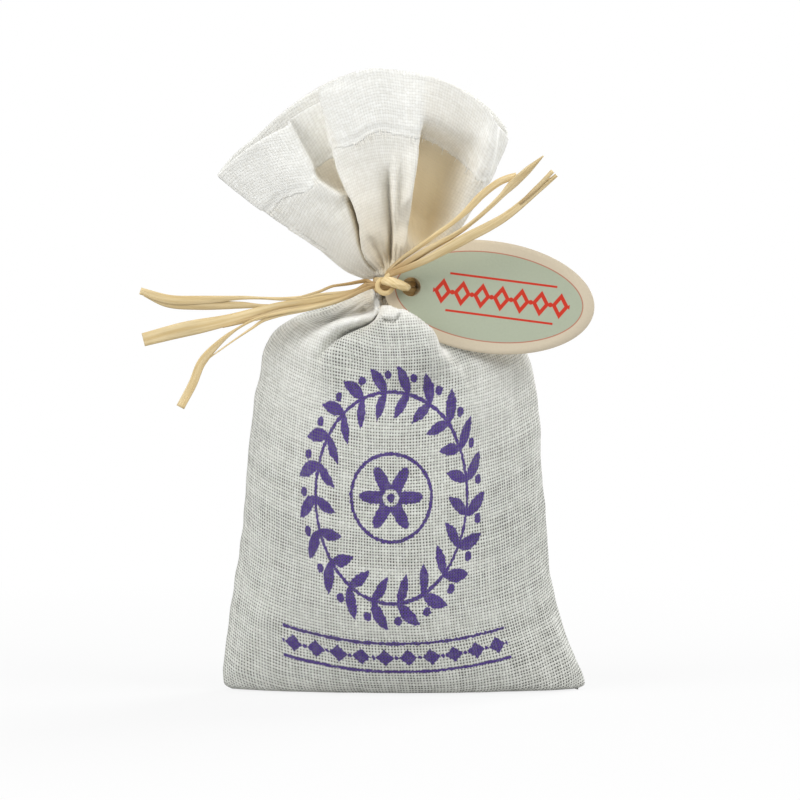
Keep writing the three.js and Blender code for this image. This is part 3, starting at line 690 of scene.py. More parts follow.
def print_ink(across, up, middle_up, band_up):
    """How much ink lies at a place of the front: a leaf wreath with a flower, over a band of diamonds."""
    x, y = across - PRINT_ACROSS, up - middle_up
    p, q = x / WREATH_WIDE, y / WREATH_TALL
    along = ((q.angle(p) * (LEAF_PAIRS / TURN)).fract() - 0.5) * LEAF_PITCH
    out = ((p * p + q * q).root() - 1.0) * WREATH_REACH

    def leaf(side, tilt):
        a, b = along - 0.4, out - side
        sin, cos = math.sin(tilt), math.cos(tilt)
        length = (a * cos + b * sin) / LEAF_LONG
        width = (b * cos - a * sin) / LEAF_WIDE
        return (width.size() + length * length).step(1.08, 0.9)

    def line(apart):
        return apart.size().step(0.62, 0.42)

    bud_a, bud_b = along + 2.6, out - 4.6
    bud = (bud_a * bud_a + bud_b * bud_b).step(1.7, 1.1)
    centre = (x * x + y * y).root()
    petal = (y.angle(x) * PETALS).cosine()
    flower = (centre - petal * 3.0).step(7.2, 6.6) * centre.step(2.2, 2.7)
    z = up - band_up
    cell = ((x / BAND_PITCH).fract() - 0.5).size() * BAND_PITCH
    diamond = (cell / 2.7 + z.size() / 2.5).step(1.06, 0.92)
    dot_x = BAND_PITCH / 2 - cell
    dot = (dot_x * dot_x + z * z).step(0.5, 0.25)
    rules = (z.size() - 4.3).size().step(0.55, 0.35)
    band = diamond.most(dot).most(rules) * x.size().step(33.2, 32.9)
    ink = leaf(3.3, 0.95)
    for part in (leaf(-3.3, -0.95), line(out), bud, flower, centre.step(1.5, 1.1), line(centre - 12.4), band):
        ink = ink.most(part)
    return ink


def cloth_material(middle_up, band_up):
    """Open plain weave of uneven threads, with dark gaps that show the buds and painted shade inside, painted
    shade at the threads' edges, painted light where the inside shows less, and ink on the threads.
    """
    make = Material("linen_cloth")
    across, up = make.places("Threads")
    # How much dark inside shows: 1 on the belly, less on the flare and the hem, and less where painted light
    # lifts the cloth.
    gap_shade_and_painted_light = make.mark("GapShadeAndPaintedLight")
    u = across / THREAD_PITCH + (make.noise(across * 0.06, up * 0.03, 3.0) - 0.5) * 2.2
    v = up / THREAD_PITCH + (make.noise(across * 0.03, up * 0.06, 9.0) - 0.5) * 2.2
    iu, iv = u.floor(), v.floor()
    fu, fv = u - iu - 0.5, v - iv - 0.5
    ru, rv = make.chance(iu), make.chance(iv + 611.0)
    slub_u = make.noise(iu * 7.31, v * 0.11, 1.0) - 0.5
    slub_v = make.noise(u * 0.11, iv * 5.17, 4.0) - 0.5
    wide_u = (ru - 0.5) * 0.14 + slub_u * 0.24 + THREAD_HALF
    wide_v = (rv - 0.5) * 0.15 + slub_v * 0.28 + THREAD_HALF
    cover_u, cover_v = (fu.size() - wide_u).step(0.07, -0.05), (fv.size() - wide_v).step(0.07, -0.05)
    gap = (1.0 - cover_u) * (1.0 - cover_v)
    over = ((iu + iv) * 0.5).fract() * 4.0 - 1.0

    def crown(apart, along, cover, on_top):
        """How high the threads of one direction stand, as they pass over and under the others."""
        rounded = 1.0 - (apart / 0.5) * (apart / 0.5)
        return rounded * ((along * math.pi).cosine() * on_top * 0.5 + 0.5) * cover

    height = crown(fu, fv, cover_u, over).most(crown(fv, fu, cover_v, over * -1.0))
    tone = make.noise(across * 0.05, up * 0.05, 5.0, 3.0) * 0.06 + 0.97
    # Threads are darker towards their edges and where they dip under: painted shade.
    thread = (ru + rv - 1.0) * 0.025 + (slub_u + slub_v) * 0.04 - (1.0 - height) * 0.2
    thread = thread * (gap_shade_and_painted_light * 0.6 + 0.4) + 1.0
    odd = make.chance(iu + iv * 13.0)
    single = make.mix(odd, srgb(229, 230, 223), srgb(213, 214, 206))
    double = make.mix(odd, srgb(250, 250, 246), srgb(243, 242, 236))
    colour = make.shaded(make.mix(gap_shade_and_painted_light, double, single), thread * tone)
    # Painted warm shade: a brownish colour laid over the cloth in the flare's hollows, near the neck and on
    # the pouch below it.
    colour = make.mix(make.mark("PaintedWarmShade"), colour, srgb(217, 199, 162))
    blur_x = (make.noise(across * 0.9, up * 0.9, 2.0) - 0.5) * 1.1
    blur_y = (make.noise(across * 0.9, up * 0.9, 7.0) - 0.5) * 1.1
    ink = print_ink(across + blur_x, up + blur_y, middle_up, band_up)
    patchy = make.noise(across * 0.5, up * 0.5, 11.0, 3.0) * 0.3 + 0.84
    violet = make.mix(make.noise(across * 0.2, up * 0.2, 15.0), srgb(58, 34, 112), srgb(80, 54, 140))
    colour = make.mix(ink * patchy.least(1.0) * (height * 0.1 + 0.9), colour, violet)
    # The gaps show the dark buds and painted shade from inside the bag.
    dark = make.mix(gap_shade_and_painted_light, srgb(226, 219, 203), srgb(46, 44, 38))
    colour = make.mix(gap.step(0.1, 0.8) * (gap_shade_and_painted_light * 0.92), colour, dark)
    relief = (height - gap * 0.6) * (gap_shade_and_painted_light * 0.85 + 0.15)
    return make.finish(
        colour, relief, 0.16, 0.88, Sheen_Weight=0.12, Sheen_Roughness=0.6, Specular_IOR_Level=0.25,
    )


def raffia_material():
    """Dry palm fibre: straw coloured, with fine lengthwise streaks, and painted shade from the Shade mark
    that makes it darker and browner.
    """
    make = Material("raffia_straw")
    along, across = make.places("Strand")
    shade = make.mark("Shade")
    streak = make.noise(along * 0.035, across * 5.5, 1.0, 4.0)
    broad = make.noise(along * 0.05, across * 1.3, 6.0)
    fine = make.noise(along * 0.15, across * 7.0, 12.0, 1.0)
    light = make.mix(broad.step(0.3, 0.72), srgb(206, 181, 130), srgb(226, 206, 162))
    colour = make.mix(streak.step(0.5, 0.8) * 0.32, light, srgb(184, 150, 92))
    # Where the Shade mark is low, painted shade turns the straw brown, as near the knot.
    colour = make.mix(shade.step(0.98, 0.66) * 0.7, colour, srgb(192, 148, 84))
    colour = make.shaded(colour, shade * (fine * 0.14 + 0.93))
    return make.finish(colour, streak, 0.06, broad * 0.2 + 0.42, Specular_IOR_Level=0.4)


def card_material():
    """Matt printed card: beige border, a thin line, a sage field and a plain red ornament."""
    make = Material("tag_card")
    x, y = make.places("Face")
    side = make.mark("Side")
    long, wide = TAG_LONG / 2 - TAG_BORDER, TAG_WIDE / 2 - TAG_BORDER
    oval = ((x / long) * (x / long) + (y / wide) * (y / wide)).root()
    slope_x, slope_y = x / (long * long), y / (wide * wide)
    slope = (slope_x * slope_x + slope_y * slope_y).root()
    apart = (oval - 1.0) * oval / slope.most(0.01)
    fleck = make.noise(x * 1.6, y * 1.6, 1.0, 4.0)
    border = make.mix(fleck, srgb(199, 186, 163), srgb(208, 196, 173))
    sage = make.mix(fleck, srgb(164, 171, 150), srgb(173, 180, 159))
    colour = make.mix(apart.step(0.06, -0.06) * side, border, sage)
    line = apart.size().step(0.22, 0.1) * side
    colour = make.mix(line * 0.8, colour, srgb(176, 96, 74))
    px = x - 3.5
    wave = ((px / 5.6 + 0.5).fract() - 0.5).size() * 5.6
    tall = y.size()
    diamond = (wave / 2.5 + tall / 3.7).step(1.04, 0.96)
    heart = (wave / 1.2 + tall / 1.8).step(0.96, 1.04)
    bead_x = 2.8 - wave
    bead = (bead_x * bead_x + tall * tall).step(0.55, 0.4)
    rule = (tall - 5.3).size().step(0.36, 0.26) * px.size().step(15.4, 15.2)
    ornament = ((diamond * heart).most(bead) * px.size().step(19.6, 19.4)).most(rule)
    red = make.mix(fleck, srgb(186, 40, 22), srgb(200, 54, 32))
    colour = make.mix(ornament * side, colour, red)
    return make.finish(colour, fleck, 0.03, 0.62, Specular_IOR_Level=0.3)


def buds_material():
    """Dried lavender buds: grey violet and straw green in small grains."""
    make = Material("dried_lavender")
    along, across = make.places("Grain")
    grain = make.noise(along * 0.8, across * 0.8, 1.0, 3.0)
    spot = make.noise(along * 0.5, across * 0.5, 8.0)
    colour = make.mix(spot.step(0.35, 0.65), srgb(110, 98, 132), srgb(140, 132, 104))
    colour = make.shaded(colour, grain * 0.7 + 0.6)
    return make.finish(colour, grain, 0.5, 0.95)


def thread_material():
    """Twisted cotton sewing thread, with painted shade in the grooves between its plies."""
    make = Material("cotton_thread")
    along, across = make.places("Strand")
    ply = (along * 2.2 + across * 3.0).sine() * 0.5 + 0.5
    # The grooves between the plies are darker: painted shade.
    colour = make.mix(ply, srgb(232, 229, 220), srgb(246, 244, 238))
    return make.finish(colour, ply, 0.01, 0.8)


# Stage


def seen_directly(tree):
    """1 for what the camera sees itself, in a reflection or through glass."""
    rays = tree.nodes.new("ShaderNodeLightPath")
    seen = Value(tree, rays.outputs["Is Camera Ray"])
    for name in ("Is Glossy Ray", "Is Transmission Ray"):
        seen = seen.most(Value(tree, rays.outputs[name]))
    return seen


def mix_shaders(tree, share, first, second, output):
    """Shows the second shader instead of the first one, by a share."""
    node = tree.nodes.new("ShaderNodeMixShader")
    for socket, item in zip(node.inputs, (share, first.outputs[0], second.outputs[0])):
        plug(tree, socket, item)
    tree.links.new(node.outputs[0], tree.nodes[output].inputs["Surface"])


def add_background(scene):
    """A background that looks white and lights the object only a little."""
    scene.world = bpy.data.worlds.new("studio")
    scene.world.use_nodes = True
    tree = scene.world.node_tree
    plain, white = tree.nodes["Background"], tree.nodes.new("ShaderNodeBackground")
    for node, colour, strength in ((plain, SKY, SKY_STRENGTH), (white, WHITE, 1.0)):
        node.inputs["Color"].default_value = colour
        node.inputs["Strength"].default_value = strength
    mix_shaders(tree, seen_directly(tree), plain, white, "World Output")


def add_floor():
    """A pale floor that keeps the object's shadow and turns white further away."""
    make = Material("pale_floor")
    make.shader.inputs["Base Color"].default_value = FLOOR_GREY
    make.shader.inputs["Roughness"].default_value = 0.9
    glow = make.node("ShaderNodeEmission", Color=WHITE, Strength=1.0)
    spot = make.node("ShaderNodeNewGeometry")
    reach = make.node("ShaderNodeVectorMath")
    reach.operation = "LENGTH"
    make.tree.links.new(spot.outputs["Position"], reach.inputs[0])
    away = Value(make.tree, reach.outputs["Value"])
    share = seen_directly(make.tree) * away.through(make.node("ShaderNodeMapRange"), away, *FLOOR_FADE)
    mix_shaders(make.tree, share, make.shader, glow, "Material Output")
    data = bpy.data.meshes.new("floor")
    corners = ((-1, -1), (1, -1), (1, 1), (-1, 1))
    data.from_pydata([(FLOOR_HALF * x, FLOOR_HALF * y, 0) for x, y in corners], [], [(0, 1, 2, 3)])
    data.materials.append(make.material)
    add_object("floor", data)


def add_stage():
    """Camera, soft lights, a pale floor and a white background."""
    scene = bpy.context.scene
    scene.view_settings.view_transform = "Standard"
    view = bpy.data.cameras.new("camera")
    view.sensor_width = SENSOR
    view.lens = SENSOR * VIEW_DISTANCE / VIEW_WIDTH
    view.clip_end = VIEW_FAR
    away, rise = VIEW_DISTANCE * math.cos(VIEW_ELEVATION), VIEW_DISTANCE * math.sin(VIEW_ELEVATION)
    scene.camera = add_object("camera", view, (VIEW_SIDE * MM, -away * MM, (VIEW_HEIGHT + rise) * MM))
    scene.camera.rotation_euler = (math.pi / 2 - VIEW_ELEVATION, 0, 0)
    for name, place, wide, power in LAMPS:
        lamp = bpy.data.lights.new(name, "AREA")
        lamp.size = wide
        lamp.energy = power
        holder = add_object(name, lamp, place)
        holder.rotation_euler = (Vector(LAMP_AIM) - Vector(place)).to_track_quat("-Z", "Y").to_euler()
    add_background(scene)
    add_floor()


# Raffia


def ribbon(shape, way, widths, face, thick, shade, cup=0.12, twist=0.0, seed=0):
    """Adds one flat strand along a way. face points out of its flat side; twist is in degrees along it."""
    widths, shade, turn = (np.broadcast_to(v, len(way))[:, None] for v in (widths, shade, np.radians(twist)))
    ahead = headings(way)
    out = np.broadcast_to(np.asarray(face, dtype=float), way.shape)
    out = unit(out - ahead * (out * ahead).sum(axis=1, keepdims=True))
    side = np.cross(ahead, out)
    side, out = side * np.cos(turn) + out * np.sin(turn), out * np.cos(turn) - side * np.sin(turn)
    q = np.linspace(-1, 1, STRAND_COLUMNS)
    q, face_sign = np.concatenate([q, q[::-1]]), np.repeat((1.0, -1.0), len(q))
    round_edge = (1 - (1 - STRAND_EDGE) * q * q) * face_sign
    run = lengths(way)[:, None]
    wave = 0.05 * field(both(run, 9.0 * q), 9.0, seed)
    rise = cup * (1 - q * q) * widths + round_edge * thick / 2 + wave
    across = q * widths / 2
    place = way[:, None] + side[:, None] * across[..., None] + out[:, None] * rise[..., None]
    uv = both(run + 83.0 * seed, across + 5.0 * face_sign)
    shape.grid(place, np.concatenate([uv, uv[:, :1]], axis=1), shade)


def add_straw(shape, material, node, body="bag"):
    """A piece of raffia that stands for a node."""
    return finish_piece(shape.build(node + "_straw", material), body, "raffia", node)


def tail_strand(shape, way, rows, brightness, seed):
    """Adds one strand of a loose end, and gives its first points, width and brightness."""
    rows = np.array(rows, dtype=float)
    share = np.linspace(0, 1, len(way))
    keep = (share >= rows[0, 0] - 1e-6) & (share <= rows[-1, 0] + 1e-6)
    across, widths = (read(rows[:, (0, k)], share)[keep] for k in (1, 2))
    side = unit(np.cross(headings(way)[keep], (0.0, -1.0, 0.0)))
    forward = STRAND_APART if seed % 2 else -STRAND_APART
    middle = way[keep] + side * across[:, None] + np.array((0, forward, 0))
    run = lengths(middle)
    twist = 8 * field(run[:, None], 34.0, seed + 5) + 2 * field(run[:, None], 9.0, seed + 9)
    # Darker towards the knot: painted shade.
    shade = brightness * (0.74 + 0.26 * ramp(run, 0, 18))
    ribbon(shape, middle, widths, (0, -1, 0), STRAND_THICK, shade, cup=0.045, twist=twist, seed=seed)
    return middle[:4], widths[0], shade[0]


def add_tails(material):
    """The six loose ends of the tie, and where their strands start."""
    starts = []
    for number, (name, (width, route)) in enumerate(TAILS.items()):
        way = curve(np.array(route) + RING, TAIL_POINTS)
        shape = Shape()
        for k, (rows, brightness) in enumerate(STRANDS[name]):
            start = tail_strand(shape, way, rows, brightness, 11 * number + 3 * k)
            if rows[0][0] == 0:
                starts.append(start)
        piece = add_straw(shape, material, name)
    return starts


def add_wraps(material):
    """Flat strands wound round the neck, two to each turn of the tie."""
    turn = np.linspace(0, TURN, WRAP_POINTS)
    round_neck = turn + math.radians(WRAP_START)
    face = np.column_stack([np.cos(round_neck), np.sin(round_neck), np.zeros(WRAP_POINTS)])
    left = np.maximum(-face[:, 0], 0) ** 4
    for name, middle in WRAPS:
        shape = Shape()
        for k, (lift, radius) in enumerate(WRAP_STRANDS):
            height = middle + lift + 0.28 * np.sin(turn + 1.9 * k + middle) + 0.12 * np.sin(3 * turn + k)
            way = face * (radius - 0.75 * left)[:, None] + np.array((NECK_X, 0, 0))
            way[:, 2] = height
            # Painted shade: the wraps are darker, most of all on the left.
            shade = 0.8 + 0.08 * k + 0.07 * np.sin(2 * turn + k) - 0.25 * left
            wide = 1.6 + 0.2 * np.sin(2 * turn + k)
            ribbon(shape, way, wide, face, 0.4, shade, cup=0.08, seed=int(middle) + 7 * k)
        add_straw(shape, material, name)


def add_knot(material, starts):
    """The knot: a flat strand curled into a ring, the strands it ties and a short cut end."""
    shape = Shape()
    share = np.linspace(0, 1, KNOT_POINTS)
    turn = np.radians(np.linspace(*KNOT_TURN, KNOT_POINTS))
    curl = RING + np.column_stack([
        KNOT_WIDE * np.cos(turn) - 0.05,
        1.0 * (1 - ramp(share, 0, 0.22)) + 0.7 * ramp(share, 0.8, 1) - 1.3,
        KNOT_TALL * np.sin(turn) - 0.5,
    ])
    ribbon(shape, curl, read(KNOT_WIDTH, share), (0, -1, 0.1), 0.5, 1.12, cup=0.16, seed=3)
    for k, (first, wide, tone) in enumerate(starts):
        bend, inner = np.array(KNOT_LEFT if first[0, 0] < RING[0] else KNOT_RIGHT)
        way = curve(np.vstack([first[2], first[0], bend * 0.55 + first[0] * 0.45, inner]), 30)
        ribbon(shape, way, wide, (0, -1, 0.1), 0.38, tone, cup=0.045, seed=20 + k)
    for k, (points, wide, tone) in enumerate(KNOT_STRANDS):
        ribbon(shape, curve(points, 30), wide, (0, -1, 0.2), 0.4, tone, seed=40 + k)
    ribbon(shape, curve(KNOT_END, 24), np.linspace(1.7, 1.1, 24), (0, -1, 0), 0.4, 1.06, seed=31)
    add_straw(shape, material, "raffia_knot")


def sweep(shape, way, helper, size, places, shade):
    """Adds a round strand along a way. size has its radius by rows and columns; helper points to one side."""
    ahead = headings(way)
    side = unit(np.cross(ahead, helper))
    out = np.cross(side, ahead)
    turn = np.linspace(0, TURN, size.shape[1], endpoint=False)
    sideways, outwards = (size * np.cos(turn))[..., None], (size * np.sin(turn))[..., None]
    shape.grid(way[:, None] + side[:, None] * sideways + out[:, None] * outwards, places, shade)


def add_loop(material):
    """The rolled strand that goes through the tag's hole and back."""
    shape = Shape()
    way = curve(LOOP, LOOP_POINTS)
    run = lengths(way)[:, None]
    full = np.linspace(0, TURN, LOOP_SIDES + 1)
    turn = full[:-1]
    wind = run * 0.55
    lobes = 1 + 0.08 * np.cos(3 * turn + wind) + 0.03 * np.cos(7 * turn - 2 * wind)
    lobes += 0.05 * field(both(run, 5 * turn), 3.0, 5)
    places = both(run * 1.4, full * 1.1 + wind)
    sweep(shape, way, (0.0, 0.0, 1.0), read(LOOP_RADIUS, run) * lobes, places, read(LOOP_SHADE, run))
    add_straw(shape, material, "raffia_tag_loop", "tag_loop")


# Tag


def tag_axes():
    """The tag's long axis, its short axis and the way it faces."""
    out = unit(TAG_NORMAL)
    level = unit(np.cross(np.array((0.0, 0.0, 1.0)), out))
    rise = np.cross(out, level)
    long = level * math.cos(TAG_TILT) - rise * math.sin(TAG_TILT)
    wide = level * math.sin(TAG_TILT) + rise * math.cos(TAG_TILT)
    return long, wide, out


def close_card(net):
    """Joins the last row of the card to the first one."""
    bmesh.ops.remove_doubles(net, verts=net.verts, dist=1e-6)
    bmesh.ops.recalc_face_normals(net, faces=net.faces)


def add_tag(material):
    """An oval card with a punched hole and softly rounded edges."""
    long, wide, out = tag_axes()
    turn = np.linspace(0, TURN, TAG_COLUMNS, endpoint=False)
    rim = np.column_stack([TAG_LONG / 2 * np.cos(turn), TAG_WIDE / 2 * np.sin(turn)])
    hole = np.array((-HOLE_OFFSET, 0.0))
    punched = hole + HOLE_RADIUS * unit(rim - hole)
    half = TAG_THICK / 2
    upright = half * TAG_UPRIGHT
    flat_rows = [(s, TAG_SOFT * ((s == 0) - float(s == 1))) for s in np.linspace(0, 1, TAG_RINGS)]
    rows = [(s, inset, half) for s, inset in flat_rows] + [(1, 0, upright), (1, 0, -upright)]
    rows += [(s, inset, -half) for s, inset in flat_rows[::-1]] + [(0, 0, -upright), (0, 0, upright)]
    rows.append(rows[0])
    share, inset, high = np.array(rows, dtype=float).T[..., None]
    flat = punched + (rim - punched) * share[..., None] + unit(rim - punched) * inset[..., None]
    bow = 0.25 * (flat[..., 0] / 30) ** 2 * ramp(flat[..., 0], -10, 20)
    place = HOLE + long * (HOLE_OFFSET + flat[..., :1]) + wide * flat[..., 1:] + out * (high + bow)[..., None]
    shape = Shape()
    shape.grid(place, np.concatenate([flat, flat[:, :1]], axis=1), high > half * 0.9, ends=False)
    piece = shape.build("printed_tag", material, "Face", "Side")
    rework(piece, close_card)
    finish_piece(piece, "tag", "card", "hang_tag")


# Bag


def ring(left, right, front, back, pinch, share, level):
    """A row round the bag: the front from left to right, then the back to the first point again."""
    turn = np.linspace(0, math.pi, RING_STEPS)
    x = (left + right) / 2 - (right - left) / 2 * np.cos(turn)
    sides = []
    for depth in (-front, back):
        y = depth * np.maximum(np.sin(turn), 0) ** (2 * pinch)
        run = lengths(np.column_stack([x, y]))
        at = share * run[-1]
        sides.append(np.column_stack([np.interp(at, run, x), np.interp(at, run, y), np.full_like(at, level)]))
    return np.vstack([sides[0], sides[1][::-1][1:]])


def bag_ring(height, flatten=1.0, level=None):
    """The pouch's row of a height, which may lie at another level."""
    tables = (LEFT_EDGE, RIGHT_EDGE, FRONT_DEPTH, BACK_DEPTH, PINCH)
    left, right, front, back, pinch = (float(read(table, height)) for table in tables)
    level = height if level is None else level
    return ring(left, right, front * flatten, back * flatten, pinch, ACROSS, level)


def pouch_rows():
    """Rows from the fold under the bag to the top of the neck."""
    under = np.linspace(0, 1, FOLD_ROWS + 1)[:-1]
    rows = [bag_ring(0.0, max(share, 0.004), 0.9 * (1 - share) ** 2) for share in under]
    fine = np.linspace(0, NECK_LOW, POUCH_STEPS)
    run = lengths(np.column_stack([read(LEFT_EDGE, fine), 0.5 * read(FRONT_DEPTH, fine), fine]))
    pace = np.where(fine < SHOULDER, 1 / POUCH_STEP, 1 / SHOULDER_STEP)
    count = np.concatenate([[0], np.cumsum((pace[1:] + pace[:-1]) / 2 * np.diff(run))])
    rows.extend(bag_ring(z) for z in np.interp(np.arange(0, count[-1], 1.0), count, fine))
    rows.extend(bag_ring(NECK_LOW, level=z) for z in np.linspace(NECK_LOW, NECK_HIGH, NECK_ROWS))
    return np.array(rows)


def flare_rows(start):
    """Rows from the top of the neck to the rim, opening out like a fan."""
    front, back = (curve(points, FRONT_COLUMNS + 1) for points in (FRONT_RIM, BACK_RIM))
    rim = np.vstack([front, back[::-1][1:]])
    sideways, upwards, forwards = (read(np.array(FLARE_PULL)[:, (0, k)], AROUND) for k in (1, 2, 3))
    control = start + np.column_stack([sideways, np.where(AT_BACK, 1.0, -1.0) * forwards, upwards])
    first, second = start + (control - start) * 2 / 3, rim + (control - rim) * 2 / 3
    at_left = bell(AROUND, 0.14)[:, None]
    low = start + np.array(FLARE_LEFT)
    first = first + (low - first) * at_left
    second = second + (low + (rim - low) * 0.32 - second) * at_left
    t = np.linspace(0, 1, FLARE_STEPS)[:, None]
    columns = []
    for a, b, c, d in zip(start, first, second, rim):
        way = a * (1 - t) ** 3 + b * 3 * t * (1 - t) ** 2 + c * 3 * t * t * (1 - t) + d * t ** 3
        columns.append(evenly(way, FLARE_ROWS + 1)[1:])
    return np.array(columns).transpose(1, 0, 2)


def normals(rows):
    """The way out of the cloth at each point."""
    around = np.empty_like(rows)
    around[:, 1:-1] = rows[:, 2:] - rows[:, :-2]
    around[:, 0] = around[:, -1] = rows[:, 1] - rows[:, -2]
    return unit(np.cross(around, np.gradient(rows, axis=0)))


def along_line(points, line):
    """Distance of points from a line in the picture, the share along it and its left hand.

    The distance is larger than 0 on the left hand of the line.
    """
    dense = curve(line, LINE_STEPS)
    ahead = headings(dense)
    flat = points.reshape(-1, 2)
    apart = flat[:, None, :] - dense[None, :, :]
    square = (apart ** 2).sum(axis=2)
    near = square.argmin(axis=1)
    gap = apart[np.arange(len(flat)), near]
    way = ahead[near]
    side = np.sign(way[:, 0] * gap[:, 1] - way[:, 1] * gap[:, 0])
    size = np.sqrt(square[np.arange(len(flat)), near])
    left_hand = np.column_stack([-way[:, 1], way[:, 0]])
    shape, share = points.shape[:-1], near / (len(dense) - 1)
    return (side * size).reshape(shape), share.reshape(shape), left_hand.reshape(points.shape)


def between(ends, share):
    """A number on its way from the first end to the second."""
    return ends[0] + (ends[1] - ends[0]) * share


def folds(rows, strokes):
    """How far each point of the front moves outwards, and across and up, for the folds drawn there."""
    seen = as_seen(rows[:, FRONT])
    out, slide = np.zeros(rows.shape[:2]), np.zeros(rows.shape[:2] + (2,))
    edge = ramp(ACROSS, 0, 0.06) * ramp(1 - ACROSS, 0, 0.06)
    for line, amount, left, right, fade_in, fade_out, shift in strokes:
        apart, place, left_hand = along_line(seen, line)
        width = np.where(apart > 0, between(left, place), between(right, place))
        fade = ramp(place, -1e-6, fade_in) * ramp(1 - place, -1e-6, fade_out)
        power = ROLL_POWER if amount > ROLL_FROM else 2.0 if amount > 0 else 1.15
        profile = bell(apart, width, power) * fade * edge
        out[:, FRONT] += amount * profile
        slide[:, FRONT] += left_hand * (shift * profile)[..., None]
    return out, slide


def hollows(rows, shapes):
    """How far each point of the front moves outwards for the hollows drawn there, and the painted shade that
    darkens them.
    """
    seen = as_seen(rows[:, FRONT])
    out, hollow_shade = np.zeros(rows.shape[:2]), np.zeros(rows.shape[:2])
    for left, right, depth, soft_left, soft_right, fade_in, fade_out, colour in shapes:
        from_left, left_place, _ = along_line(seen, left)
        from_right, place, _ = along_line(seen, right)
        inside = smooth(from_left / between(soft_left, left_place))
        inside *= smooth(-from_right / between(soft_right, place))
        inside *= ramp(place, -1e-6, fade_in) * ramp(1 - place, -1e-6, fade_out)
        out[:, FRONT] += depth * inside
        # colour is how much painted warm shade the hollow gets.
        hollow_shade[:, FRONT] += colour * inside
    return out, hollow_shade


def lip(rows):
    """The front panel's fold before the tag: moves outwards and upwards, where it shows, and its crest and
    inner edge, which get painted highlight.
    """
    apart, place, _ = along_line(as_seen(rows[:, FRONT]), LIP)
    below = np.maximum(-apart, 0)
    strong = 1 - (1 - ramp(place, 0.02, 0.25)) * ramp(below, 1.5, 5)
    strong *= (below < LIP_OUT[-1][0]) * (place > 0) * (place < 1)
    # The crest and the inner edge of the fold are marked for a painted highlight.
    edge = bell(below - 3.4, 2) * (0.35 + 0.65 * ramp(0.6 - place, 0, 0.3)) * ramp(place, 0, 0.03)
    inner = (apart < 0.6) * (place < 1) * ramp(4 - below, 0, 0.8)
    inner *= np.minimum(1.6 * read(LIP_OUT_ALONG, place), 1)
    moves = np.zeros((4,) + rows.shape[:2])
    moves[:, :, FRONT] = (
        read(LIP_OUT, below) * read(LIP_OUT_ALONG, place) * strong,
        read(LIP_UP, below) * read(LIP_UP_ALONG, place) * strong,
        ramp(below, 3, 3.8),
        np.maximum(edge, inner),
    )
    return moves


def pleats(count, seed):
    """Rounded pleats side by side round the bag, uneven in width: 1 on a ridge and -1 in a valley."""
    chance = np.random.default_rng(seed)
    wide = chance.uniform(0.6, 1.5, count)
    edges = np.concatenate([[0], np.cumsum(wide)]) / wide.sum()
    phase = np.interp(np.linspace(0, 1, len(AROUND)), edges, np.arange(count + 1))
    high = chance.uniform(0.55, 1.0, count)
    return (np.abs(np.sin(math.pi * phase)) ** 0.8 * 2 - 1) * high[np.minimum(phase.astype(int), count - 1)]


def gathers(from_neck, above):
    """How far the pleats stand out: small ones beside the neck, and long ones on the back."""
    fine, broad, long = (pleats(count, seed) for count, seed in (FINE_PLEATS, BROAD_PLEATS, LONG_PLEATS))
    move = fine * 0.32 * bell(from_neck, 5.0)
    move += fine * 0.5 * ramp(from_neck, 1, 4) * np.exp(-from_neck / np.where(above, 7.0, 5.0))
    swell = ramp(from_neck, 2, 8) * bell(from_neck, np.where(above, 26.0, 17.0))
    move += broad * np.where(AT_BACK, 2.3, np.where(above, 0.35, 0.6)) * swell
    return move + long * AT_BACK * 2.6 * ramp(from_neck, 3, 14) * bell(from_neck, np.where(above, 44.0, 36.0))


def over_tie(from_neck):
    """1 near the tie, and less further from it than the height of the cloth that puffs over it."""
    return bell(np.maximum(from_neck - PUFF_HEIGHT, 0), 6)


def puffs(from_neck, above):
    """How far the cloth rises or sags over the tie beside the neck."""
    left, right = bell(AROUND, 0.14), bell(1 - AROUND, 0.16)
    slow, fast = ramp(from_neck, -0.6, PUFF_HEIGHT), ramp(from_neck, -0.8, 1.2)
    rise = np.where(above, -6.2 * right * slow - 0.8 * left * slow, 3.2 * left * fast + 4.0 * right * slow)
    return over_tie(from_neck) * (from_neck > 0) * rise


def bulge(from_neck, above):
    """How far the flare stands out over the tie on the front, right of the knot."""
    beside = bell(AROUND - 0.9, 0.14) * ~AT_BACK
    return 3.2 * beside * above * ramp(from_neck, 0, 1.8) * over_tie(from_neck)


def soften(rows, times):
    """Evens out the points of a net that closes on itself."""
    for _ in range(times):
        left = np.concatenate([rows[:, -2:-1], rows[:, :-1]], axis=1)
        right = np.concatenate([rows[:, 1:], rows[:, 1:2]], axis=1)
        mean = (left + right) / 2
        mean[1:-1] = (mean[1:-1] + (rows[:-2] + rows[2:]) / 2) / 2
        rows = rows + (mean - rows) * 0.5
    return rows


def hem_rows(flare):
    """The rim turned over and the hem that lies on the outside below it."""
    out = normals(flare)
    last = len(flare) - 1
    up = unit(flare[-1] - flare[-3])
    lift = HEM_LIFT / 2
    turns = np.radians(HEM_TURN)
    rows = [flare[-1] + out[-1] * lift * (1 - math.cos(a)) + up * lift * math.sin(a) for a in turns]
    step = np.linalg.norm(np.diff(flare, axis=0), axis=2).mean(axis=0)
    columns = np.arange(flare.shape[1])
    turn = TURN * columns / columns[-1]
    around = np.column_stack([np.cos(turn), np.sin(turn)])
    depth = HEM_DEPTH + 0.6 * field(around, 0.6, 4) + 0.25 * field(around, 0.07, 8)
    for share in np.linspace(0, 1, HEM_ROWS):
        back = np.clip(last - share * depth / step, 0, last)
        low = np.floor(back).astype(int)
        high = np.minimum(low + 1, last)
        part = (back - low)[:, None]
        spot, face = (between((net[low, columns], net[high, columns]), part) for net in (flare, out))
        rows.append(spot + unit(face) * (HEM_LIFT - (HEM_LIFT + 0.03) * share ** 2))
    return np.array(rows)


